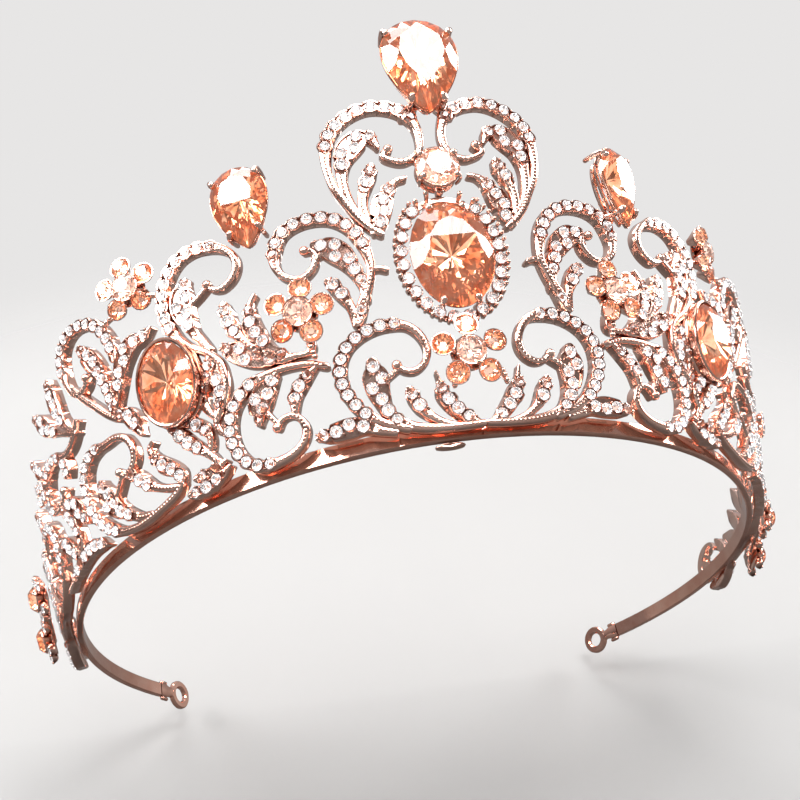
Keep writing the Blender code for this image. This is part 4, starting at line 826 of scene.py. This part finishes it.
def add_claw(shape, place, rim_at, t, foot, wire):
    """A claw that rises beside the girdle, bends over it and ends in a ball."""
    x, y = rim_at(t)
    away = Vector((x, y, 0.0)).normalized()
    base = Vector((x, y, 0.0))
    route = [
        base + away * 0.1 + UP * foot,
        base + away * 0.35 + UP * (foot * 0.4),
        base + away * 0.4 + UP * (CLAW_TOP * 0.3),
        base + away * 0.22 + UP * (CLAW_TOP * 0.75),
        base - away * CLAW_REACH + UP * CLAW_TOP,
    ]
    shape.tube([place @ p for p in route], [wire, wire, wire, wire * 1.05, CLAW_TIP])
    shape.bead(place @ Matrix.Translation(route[-1]), CLAW_TIP, CLAW_TIP, 10, 4)


STONE_SEAT = ((0.02, -0.75), (0.16, -0.3), (0.12, -0.12), (0.0, -0.16), (-0.3, -0.75))


def setting(name, place, rim, size, claws, depth, wire=0.45, basket=0.0):
    """Collar, gallery wires and claws; a basket adds the long wires that meet under the stone."""
    width, height = size[:2]
    shape = Shape()
    if basket:
        for t in claws:
            x, y = rim(width, height, 0.1)(t)
            meet = Vector((0.25 * x, 0.35 * y, -basket))
            shape.tube([place @ Vector((x, y, -0.4)), place @ Vector((0.72 * x, 0.74 * y, -0.55 * basket)),
                        place @ meet], [0.4, 0.38, 0.42], 8)
            shape.bead(place @ Matrix.Translation(meet), 0.55, 0.55, 10, 3)
    add_collar(shape, place, rim(width, height), STONE_SEAT)
    add_gallery(shape, place, rim(width, height, -0.9), ((-0.55 * depth, 0.34),))
    add_gallery(shape, place, rim(width, height, -1.9), ((-depth, 0.4),))
    for t in claws:
        add_claw(shape, place, rim(width, height, 0.15), t, -depth, wire)
    build(f"{name}_claws", shape, METAL, [name])


def big_stone(name, place, rim, size, sides, centre=(0.0, 0.0), glass=PEACH, foil=COPPER):
    """A cut stone that stands for a stone of the CAD."""
    shape = Shape()
    add_brilliant(shape, place, rim(*size[:2]), centre, sides, *size[2:])
    build(f"{name}_cut", shape, glass, [name], foil)


HALO_CUPS = 24
HALO_STEPS = 720                    # the outline is measured in this many steps
HALO_DROP = 0.4
HALO_SIZE = (15.9, 21.3)
HALO_SHOULDERS = (7.6, 10.3)
HALO_OPEN_ABOVE = 8.2               # the stem of the round stone takes the cups' place
HALO_CUP = [(0.75, 0.9), (1.0, 1.6), (1.1, 2.3), (1.04, 2.42), (0.88, 2.34), (0.6, 1.9)]
HALO_TOP_CLAWS = ((-4.6, 38.9), (-2.6, 40.4), (2.9, 39.9), (5.0, 38.6))


def halo():
    """The ring of claw cups round the centre oval, with two claws outside each cup."""
    metal = Shape()
    stones = Shape()
    place = face_frame(CENTRE_LINE, HALO_UP - HALO_DROP, 0.0)
    rim = oval_rim(*HALO_SIZE)
    add_collar(metal, place, rim, ((0.5, 0.5), (0.4, 1.0), (-0.4, 1.0), (-0.5, 0.5)))
    lengths = [0.0]
    for k in range(HALO_STEPS):
        a = rim(k / HALO_STEPS)
        b = rim((k + 1) / HALO_STEPS)
        lengths.append(lengths[-1] + math.hypot(b[0] - a[0], b[1] - a[1]))
    for n in range(HALO_CUPS):
        want = lengths[-1] * (n + 0.5) / HALO_CUPS
        t = np.interp(want, lengths, [k / HALO_STEPS for k in range(HALO_STEPS + 1)])
        x, y = rim(t)
        if y > HALO_OPEN_ABOVE:
            continue
        away = Vector((x / HALO_SHOULDERS[0] ** 2, y / HALO_SHOULDERS[1] ** 2, 0.0)).normalized()
        spot = place @ Matrix.Translation((x, y, 0.0))
        metal.lathe(spot, HALO_CUP, 16)
        add_round(stones, tilted(place @ Matrix.Translation((x, y, 2.42)), CUP_TILT), HALO_ROUND)
        for turn in (-0.62, 0.62):
            spoke = Matrix.Rotation(turn, 3, "Z") @ away
            foot = Vector((x, y, 1.0)) + spoke * 1.0
            knee = Vector((x, y, 1.9)) + spoke * 1.42
            top = Vector((x, y, 2.8)) + spoke * 1.3
            metal.tube([place @ foot, place @ knee, place @ top], [0.24, 0.27, 0.36], 6)
            metal.bead(place @ Matrix.Translation(top), 0.36, 0.36, 8, 3)
    for x, high in HALO_TOP_CLAWS:
        y = high - HALO_UP + HALO_DROP
        away = Vector((x, y, 0.0)).normalized()
        foot = Vector((x, y, 1.0)) - away * 1.2
        metal.tube([place @ foot, place @ (foot + away * 0.7 + UP * 1.2),
                    place @ Vector((x, y, 2.9))], [0.4, 0.36, 0.46], 8)
    build("centre_halo_cups", metal, METAL, ["centre_halo"])
    build("centre_halo_pave", stones, CLEAR, foil=SILVER)


PETAL_CUP = [(0.5, -2.2), (0.9, -1.6), (1.55, -0.7), (1.92, 0.0), (1.9, 0.16), (1.74, 0.16), (1.6, -0.1),
             (1.0, -0.9)]
COLLET = [(0.8, -2.2), (1.4, -1.6), (2.2, -0.5), (2.5, 0.0), (2.44, 0.16), (2.28, 0.14), (2.0, -0.4),
          (1.0, -1.5)]
SMALL_CUP = [(0.5, -1.0), (1.0, -0.6), (1.2, 0.0), (1.14, 0.12), (0.98, 0.06), (0.7, -0.4)]


def around(place, angle, reach, height):
    """The place moved out along an angle of its XY plane, and up."""
    return place @ Matrix.Translation((reach * math.cos(angle), reach * math.sin(angle), height))


def add_claw_beads(metal, place, count, first, reach, height, radius, tall, sides=8, rings=3):
    """Beads round a cup, from the first angle in degrees on."""
    for c in range(count):
        angle = math.radians(first + 360 / count * c)
        metal.bead(around(place, angle, reach, height), radius, tall, sides, rings)


def add_petal(metal, stones, spot, spin):
    """One petal cup with four grains over its small peach stone."""
    metal.lathe(spot, PETAL_CUP, 20)
    add_claw_beads(metal, spot, 4, 45, 1.72, 0.1, 0.24, 0.3, 6, 2)
    add_round(stones, spot @ Matrix.Rotation(spin, 4, "Z"), PETAL_ROUND)


def add_collet(metal, place):
    """The round centre cup of a flower or a rear round, with its claws."""
    metal.lathe(place, COLLET, 24)
    add_claw_beads(metal, place, 4, 20, 2.3, 0.12, 0.32, 0.4)


def flower(name, stone_name, place_at, side, turn, petal_ring, face=0.0, stems=()):
    """Five petal cups round a centre; face turns it towards +X, in radians."""
    across, up, out = place_at
    place = face_frame(side * across, up, out) @ Matrix.Rotation(face, 4, "Y")
    metal = Shape()
    stones = Shape()
    for k in range(PETALS):
        angle = math.radians(turn) + k * 2 * math.pi / PETALS
        x = side * petal_ring * math.cos(angle)
        y = petal_ring * math.sin(angle)
        tip = Matrix.Rotation(0.16, 4, Vector((-y, x, 0.0)).normalized())
        add_petal(metal, stones, place @ Matrix.Translation((x, y, -0.35)) @ tip, 0.4 * k)
    add_collet(metal, place)
    metal.lathe(place, [(2.6, -2.3), (2.9, -2.0), (2.6, -1.7)], 16)
    for points in stems:
        beads = smooth(points, 5)
        metal.tube([on_face(side * x, y, z) for x, y, z in beads], [0.42] * len(beads), 8)
        for x, y, z in beads[::2]:
            metal.bead(face_frame(side * x, y, z + 0.3), 0.5, 0.42, 8, 3)
    centre = Shape()
    add_round(centre, place, FLOWER_ROUND)
    build(f"{name}_cups", metal, METAL, [name])
    build(f"{name}_petal_stones", stones, PEACH, foil=COPPER)
    build(f"{stone_name}_cut", centre, PALE_PEACH, [stone_name], PALE_COPPER)


def add_small_cup(metal, stones, spot):
    """A 2.4 mm cup with three grains over its clear stone."""
    metal.lathe(spot, SMALL_CUP, 16)
    add_claw_beads(metal, spot, 3, 0, 1.1, 0.1, 0.24, 0.3)
    add_round(stones, tilted(spot, CUP_TILT), CUP_ROUND)


def rear_pieces(word, side):
    """The small clear flower over the ear and the two peach rounds behind it."""
    place = face_frame(side * REAR_FLOWER_AT[0], *REAR_FLOWER_AT[1:])
    metal = Shape()
    stones = Shape()
    for k in range(REAR_PETALS):
        add_small_cup(metal, stones, around(place, (k + 0.5) * math.pi / 2, REAR_PETAL_RING, -0.3))
    metal.bead(place, 0.4, 0.4, 8, 3)
    build(f"rear_flower_{word}_cups", metal, METAL, [f"rear_flower_{word}"])
    build(f"rear_flower_{word}_pave", stones, CLEAR, foil=SILVER)
    metal = Shape()
    stones = Shape()
    for rank, (across, up, out) in zip(("upper", "lower"), REAR_ROUNDS_AT):
        place = face_frame(side * across, up, out)
        add_collet(metal, place)
        metal.lathe(place, [(3.0, -1.9), (3.4, -1.6), (3.0, -1.3)], 16)
        for k in range(ROSETTE_CUPS):
            angle = math.pi / 2 + k * 2 * math.pi / ROSETTE_CUPS
            add_small_cup(metal, stones, around(place, angle, ROSETTE_RING, -0.7))
        cut = Shape()
        add_round(cut, place, REAR_ROUND)
        name = f"rear_round_{rank}_{word}"
        build(f"{name}_cut", cut, PEACH, [name], COPPER)
    (a, b, c), (d, e, f) = REAR_ROUNDS_AT
    metal.tube([on_face(side * a, b, c - 1.6), on_face(side * (a + d) / 2, (b + e) / 2, c - 1.6),
                on_face(side * d, e, f - 1.6)], [0.6, 0.6, 0.6], 10)
    build(f"rear_cups_{word}_collets", metal, METAL, [f"rear_cups_{word}"])
    build(f"rear_cups_{word}_pave", stones, CLEAR, foil=SILVER)


BEZEL_RIMS = (
    ((0.62, -0.5), (0.72, -0.15), (0.62, 0.2), (0.36, 0.34), (0.12, 0.26), (0.02, -0.2), (0.2, -0.6)),
    ((0.42, -2.3), (0.42, -0.45), (0.16, -0.45), (0.16, -2.3)),
    ((0.66, -2.7), (0.9, -2.35), (0.85, -1.7), (0.62, -1.4), (0.1, -1.5), (0.1, -2.7)),
)


def oval_bezel(word, place):
    """The plain setting of a side oval: a lip, a wall and a foot."""
    shape = Shape()
    for levels in BEZEL_RIMS:
        add_collar(shape, place, oval_rim(*SIDE_OVAL[:2]), levels)
    build(f"side_oval_bezel_{word}_rims", shape, POLISHED, [f"side_oval_bezel_{word}"])


def settings_and_stones():
    """Every set stone with its setting, the halo and the flowers."""
    place = face_frame(*CENTRE_OVAL_AT)
    setting("centre_oval_setting", place, oval_rim, CENTRE_OVAL_SEAT, (0.18, 0.32, 0.68, 0.82), 2.6)
    big_stone("centre_oval_stone", place, oval_rim, CENTRE_OVAL, 12)
    place = face_frame(*CREST_PEAR_AT)
    setting("crest_pear_setting", place, pear_rim, CREST_PEAR, (0.12, 0.37, 0.63, 0.88), 3.0, 0.5)
    big_stone("crest_pear_stone", place, pear_rim, CREST_PEAR, 11, (0.0, 2.2))
    place = face_frame(*CREST_ROUND_AT)
    setting("crest_round_setting", place, oval_rim, CREST_ROUND, (0.1, 0.4, 0.6, 0.9), 1.9, 0.3)
    big_stone("crest_round_stone", place, oval_rim, CREST_ROUND, 8, glass=PALE_PEACH, foil=PALE_COPPER)
    claws = (0.14, 0.38, 0.62, 0.86)
    for word, spot, turn, roll in SIDE_PEARS:
        place = face_frame(*spot) @ Matrix.Rotation(turn, 4, "Y") @ Matrix.Rotation(roll, 4, "Z")
        setting(f"side_pear_setting_{word}", place, pear_rim, SIDE_PEAR, claws, 3.0, 0.42, 3.6)
        big_stone(f"side_pear_stone_{word}", place, pear_rim, SIDE_PEAR, 10, (0.0, 1.7))
    for word, side in SIDES:
        place = face_frame(side * SIDE_OVAL_AT[0], *SIDE_OVAL_AT[1:])
        oval_bezel(word, place)
        big_stone(f"side_oval_stone_{word}", place, oval_rim, SIDE_OVAL, 10)
    halo()
    flower("lower_flower", "lower_flower_stone", LOWER_FLOWER_AT, 1, 90.0, LOWER_PETAL_RING, 0.0,
           ([(3.4, 9.4, 2.4), (3.9, 7.6, 2.5)], [(-3.4, 9.4, 2.4), (-3.9, 7.6, 2.5)]))
    for word, side in SIDES:
        flower(f"mid_flower_{word}", f"mid_flower_stone_{word}", MID_FLOWER_AT, side, 33.0, PETAL_RING, 0.0,
               ([(23.2, 20.2, 2.4), (22.9, 18.4, 2.6), (22.6, 16.3, 2.4)],))
        flower(f"top_flower_{word}", f"top_flower_stone_{word}", TOP_FLOWER_AT, side, 90.0, PETAL_RING,
               TOP_FLOWER_TURN, ([(51.0, 38.0, 1.4), (52.8, 37.4, 1.8), (54.8, 36.8, 2.2)],
                                 [(46.8, 38.0, 1.4), (45.6, 37.2, 1.8), (44.4, 36.4, 2.2)]))
        rear_pieces(word, side)


# ---------------------------------------------------------------- rail

def head_rail():
    """The flat strip with rounded edges."""
    shape = Shape()
    sections = []
    steps = 200
    edge = 0.22
    high = RAIL_HEIGHT
    near = -RAIL_THICKNESS
    outline = [(near + edge, 0.0), (-edge, 0.0), (0.0, edge), (0.04, high / 2), (0.0, high - edge),
               (-edge, high), (near + edge, high), (near, high - edge), (near, edge)]
    for i in range(steps + 1):
        across = (2 * i / steps - 1) * RAIL_SWEEP
        place = rail_frame(across)
        sections.append([place @ Vector((0.0, z, r)) for r, z in outline])
    shape.skin(sections, False)
    build("head_rail_strip", shape, POLISHED, ["head_rail"])


LOOP_SECTION = ((0.8, -0.3), (0.8, 0.3), (0.5, 0.6), (-0.5, 0.6), (-0.8, 0.3), (-0.8, -0.3), (-0.5, -0.6),
                (0.5, -0.6))


def end_loops():
    """The eyelets on the rail's ends, each with a crimped neck."""
    for word, side in SIDES:
        shape = Shape()
        along, radial = directions(side * RAIL_SWEEP)
        along = along * side
        middle = radial * (RAIL_RADIUS - RAIL_THICKNESS / 2) + UP * (RAIL_HEIGHT / 2)
        place = frame_of(along, UP, along.cross(UP), middle * MM + SHIFT)
        ring = place @ Matrix.Translation((7.2, 0.0, 0.0))
        add_collar(shape, ring, oval_rim(4.8, 4.8), LOOP_SECTION, 40)
        neck = []
        for x, half, thick in ((0.3, 1.5, 0.6), (2.2, 1.5, 0.6), (3.2, 1.1, 0.6), (4.0, 1.0, 0.6),
                               (5.0, 1.5, 0.58)):
            outline = [(-half, -thick + 0.2), (-half, thick - 0.2), (-half + 0.25, thick),
                       (half - 0.25, thick), (half, thick - 0.2), (half, -thick + 0.2),
                       (half - 0.25, -thick), (-half + 0.25, -thick)]
            neck.append([place @ Vector((x, y, z)) for y, z in outline])
        shape.skin(neck, False)
        for y in (-1.75, 1.75):
            crimp = [place @ Vector((1.0, y, 0.0)), place @ Vector((2.4, y * 1.05, 0.0))]
            shape.tube(crimp, [0.5, 0.42], 10)
        build(f"end_loop_{word}_eyelet", shape, POLISHED, [f"end_loop_{word}"])


def solder_tab():
    """The small solder seat under the rail."""
    shape = Shape()
    place = rail_frame(-5.6, -0.85, -0.6)
    shape.lathe(place, [(1.8, -0.55), (2.3, -0.4), (2.4, 0.1), (2.1, 0.45), (1.4, 0.6)], 20, squash=0.22)
    build("rail_solder_tab_seat", shape, METAL, ["rail_solder_tab"])


# ---------------------------------------------------------------- stage, light and camera

TABLE_TILT = math.radians(65)
TABLE_NORMAL = Vector((0.0, -math.sin(TABLE_TILT), math.cos(TABLE_TILT)))


def stage_material(name, colour, fade_from, fade_to, centre):
    """A matt pale surface that fades out sideways and can't be seen from behind; reflections and bounced
    light see a painted dark copy of it.
    """
    material, nodes, shader = new_material(name, Roughness=0.75)
    light = nodes.ramp(nodes.noise(9.0), ((0.3, [0.97 * c for c in colour]), (0.7, colour)))
    path = nodes.make("ShaderNodeLightPath")
    # Painted shade for reflections: every ray but the camera's sees the surface at 0.22 of its colour
    painted_dark_for_reflections = nodes.make("ShaderNodeMix", data_type="RGBA", blend_type="MIX")
    nodes.link(path.outputs["Is Camera Ray"], painted_dark_for_reflections.inputs["Factor"])
    painted_dark_for_reflections.inputs[6].default_value = (*[0.22 * c for c in colour], 1.0)
    nodes.link(light, painted_dark_for_reflections.inputs[7])
    nodes.link(painted_dark_for_reflections.outputs[2], shader.inputs["Base Color"])
    clear = nodes.make("ShaderNodeBsdfTransparent")
    geometry = nodes.make("ShaderNodeNewGeometry")
    away = nodes.make("ShaderNodeVectorMath", operation="DISTANCE")
    nodes.link(geometry.outputs["Position"], away.inputs[0])
    away.inputs[1].default_value = centre
    fade = nodes.make("ShaderNodeMapRange", interpolation_type="SMOOTHSTEP", From_Min=fade_from,
                      From_Max=fade_to)
    nodes.link(away.outputs["Value"], fade.inputs["Value"])
    unseen = nodes.highest(geometry.outputs["Backfacing"], path.outputs["Is Transmission Ray"])
    hidden = nodes.highest(unseen, fade.outputs["Result"])
    nodes.finish(nodes.mix_shaders(hidden, shader.outputs["BSDF"], clear.outputs["BSDF"]))
    return material


def sheet(name, centre, normal, reach, material):
    """A flat square of the stage."""
    turn = UP.rotation_difference(normal).to_matrix().to_4x4()
    place = Matrix.Translation(centre) @ turn
    mesh = bpy.data.meshes.new(name)
    corners = [place @ Vector((x * reach, y * reach, 0.0)) for x, y in ((-1, -1), (1, -1), (1, 1), (-1, 1))]
    mesh.from_pydata([tuple(c) for c in corners], [], [(0, 1, 2, 3)])
    mesh.materials.append(material)
    thing = bpy.data.objects.new(name, mesh)
    bpy.context.collection.objects.link(thing)


def softbox(name, place, aim, width, height, power):
    """A soft rectangular light that the camera doesn't see."""
    light = bpy.data.lights.new(name, "AREA")
    light.shape = "RECTANGLE"
    light.size = width
    light.size_y = height
    light.energy = power
    thing = bpy.data.objects.new(name, light)
    thing.location = place
    thing.rotation_mode = "QUATERNION"
    thing.rotation_quaternion = (aim - place).to_track_quat("-Z", "Y")
    thing.visible_camera = False
    bpy.context.collection.objects.link(thing)


def world():
    """Pale to the eye; a studio with dark and bright sides to reflections."""
    scene_world = bpy.data.worlds.new("studio")
    bpy.context.scene.world = scene_world
    scene_world.use_nodes = True
    nodes = Nodes(scene_world.node_tree)
    where = nodes.make("ShaderNodeTexCoord")
    split = nodes.make("ShaderNodeSeparateXYZ")
    nodes.link(where.outputs["Generated"], split.inputs[0])
    shade = nodes.ramp(nodes.to_share(split.outputs["Z"]), (
        (0.0, (0.02, 0.018, 0.018)), (0.42, (0.03, 0.027, 0.027)), (0.5, (0.12, 0.11, 0.11)),
        (0.72, (0.34, 0.33, 0.34)), (1.0, (0.7, 0.7, 0.72))))
    seen = nodes.make("ShaderNodeBackground", Color=(0.80, 0.79, 0.785, 1.0), Strength=1.0)
    mirrored = nodes.make("ShaderNodeBackground", Strength=0.8)
    nodes.link(shade, mirrored.inputs["Color"])
    path = nodes.make("ShaderNodeLightPath")
    patches = nodes.make("ShaderNodeTexNoise", Scale=3.2, Detail=1.0)
    nodes.link(where.outputs["Generated"], patches.inputs["Vector"])
    glints = nodes.ramp(patches.outputs["Fac"], (
        (0.40, (0.05, 0.045, 0.045)), (0.47, (0.5, 0.48, 0.48)), (0.54, (0.85, 0.84, 0.84)),
        (0.66, (1.0, 1.0, 1.0))))
    through = nodes.make("ShaderNodeBackground", Strength=1.5)
    nodes.link(glints, through.inputs["Color"])
    inner = nodes.mix_shaders(path.outputs["Is Transmission Ray"], mirrored.outputs[0], through.outputs[0])
    shown = nodes.mix_shaders(path.outputs["Is Camera Ray"], inner, seen.outputs[0])
    nodes.finish(shown, "ShaderNodeOutputWorld")


def stage():
    """The floor, and the pale table behind, which the real tiara lies on."""
    pale = (0.34, 0.335, 0.33)
    floor_at = Vector((0.0, 0.0, -0.0003))
    ground = stage_material("pale_floor", pale, 0.26, 0.6, floor_at)
    sheet("floor", floor_at, UP, 0.7, ground)
    table_at = Vector((0.0, 0.0695, 0.0)) - TABLE_NORMAL * 0.002
    table = stage_material("pale_table", pale, 0.17, 0.27, table_at)
    sheet("backdrop", table_at, TABLE_NORMAL, 0.3, table)


def lights():
    """Softboxes round the tiara: turn from the front and rise in degrees, reach, size and watts."""
    middle = Vector((0.0, -0.02, 0.03))
    for name, turn, rise, reach, width, height, power in (
            ("key", 5, 25, 0.62, 0.34, 0.26, 4.0),
            ("left_small", -35, 22, 0.62, 0.12, 0.10, 0.7),
            ("left_box", -62, 24, 0.62, 0.30, 0.26, 3.6),
            ("right_box", 84, 28, 0.62, 0.32, 0.26, 3.2),
            ("top_box", -20, 76, 0.70, 0.50, 0.36, 4.0),
            ("back_box", 175, 28, 0.70, 0.50, 0.28, 2.0)):
        a = math.radians(turn)
        e = math.radians(rise)
        away = Vector((math.sin(a) * math.cos(e), -math.cos(a) * math.cos(e), math.sin(e)))
        softbox(name, middle + away * reach, middle, width, height, power)


def camera():
    """The photograph's camera, fitted in millimetres about the rail's centre."""
    forward = Vector((0.1954101, 0.83752082, 0.51026833))
    upward = Vector((0.08106221, -0.53231181, 0.84265832))
    rightward = forward.cross(upward)
    data = bpy.data.cameras.new("camera")
    data.lens = 48.345
    data.sensor_width = 36.0
    data.clip_start = 0.01
    thing = bpy.data.objects.new("camera", data)
    matrix = Matrix((rightward, upward, -forward)).transposed().to_4x4()
    matrix.translation = Vector((-44.16, -205.79, -76.42)) * MM + SHIFT
    thing.matrix_world = matrix
    bpy.context.collection.objects.link(thing)
    bpy.context.scene.camera = thing


bpy.context.scene.view_settings.view_transform = "Standard"
castings()
settings_and_stones()
head_rail()
end_loops()
solder_tab()
stage()
lights()
world()
camera()
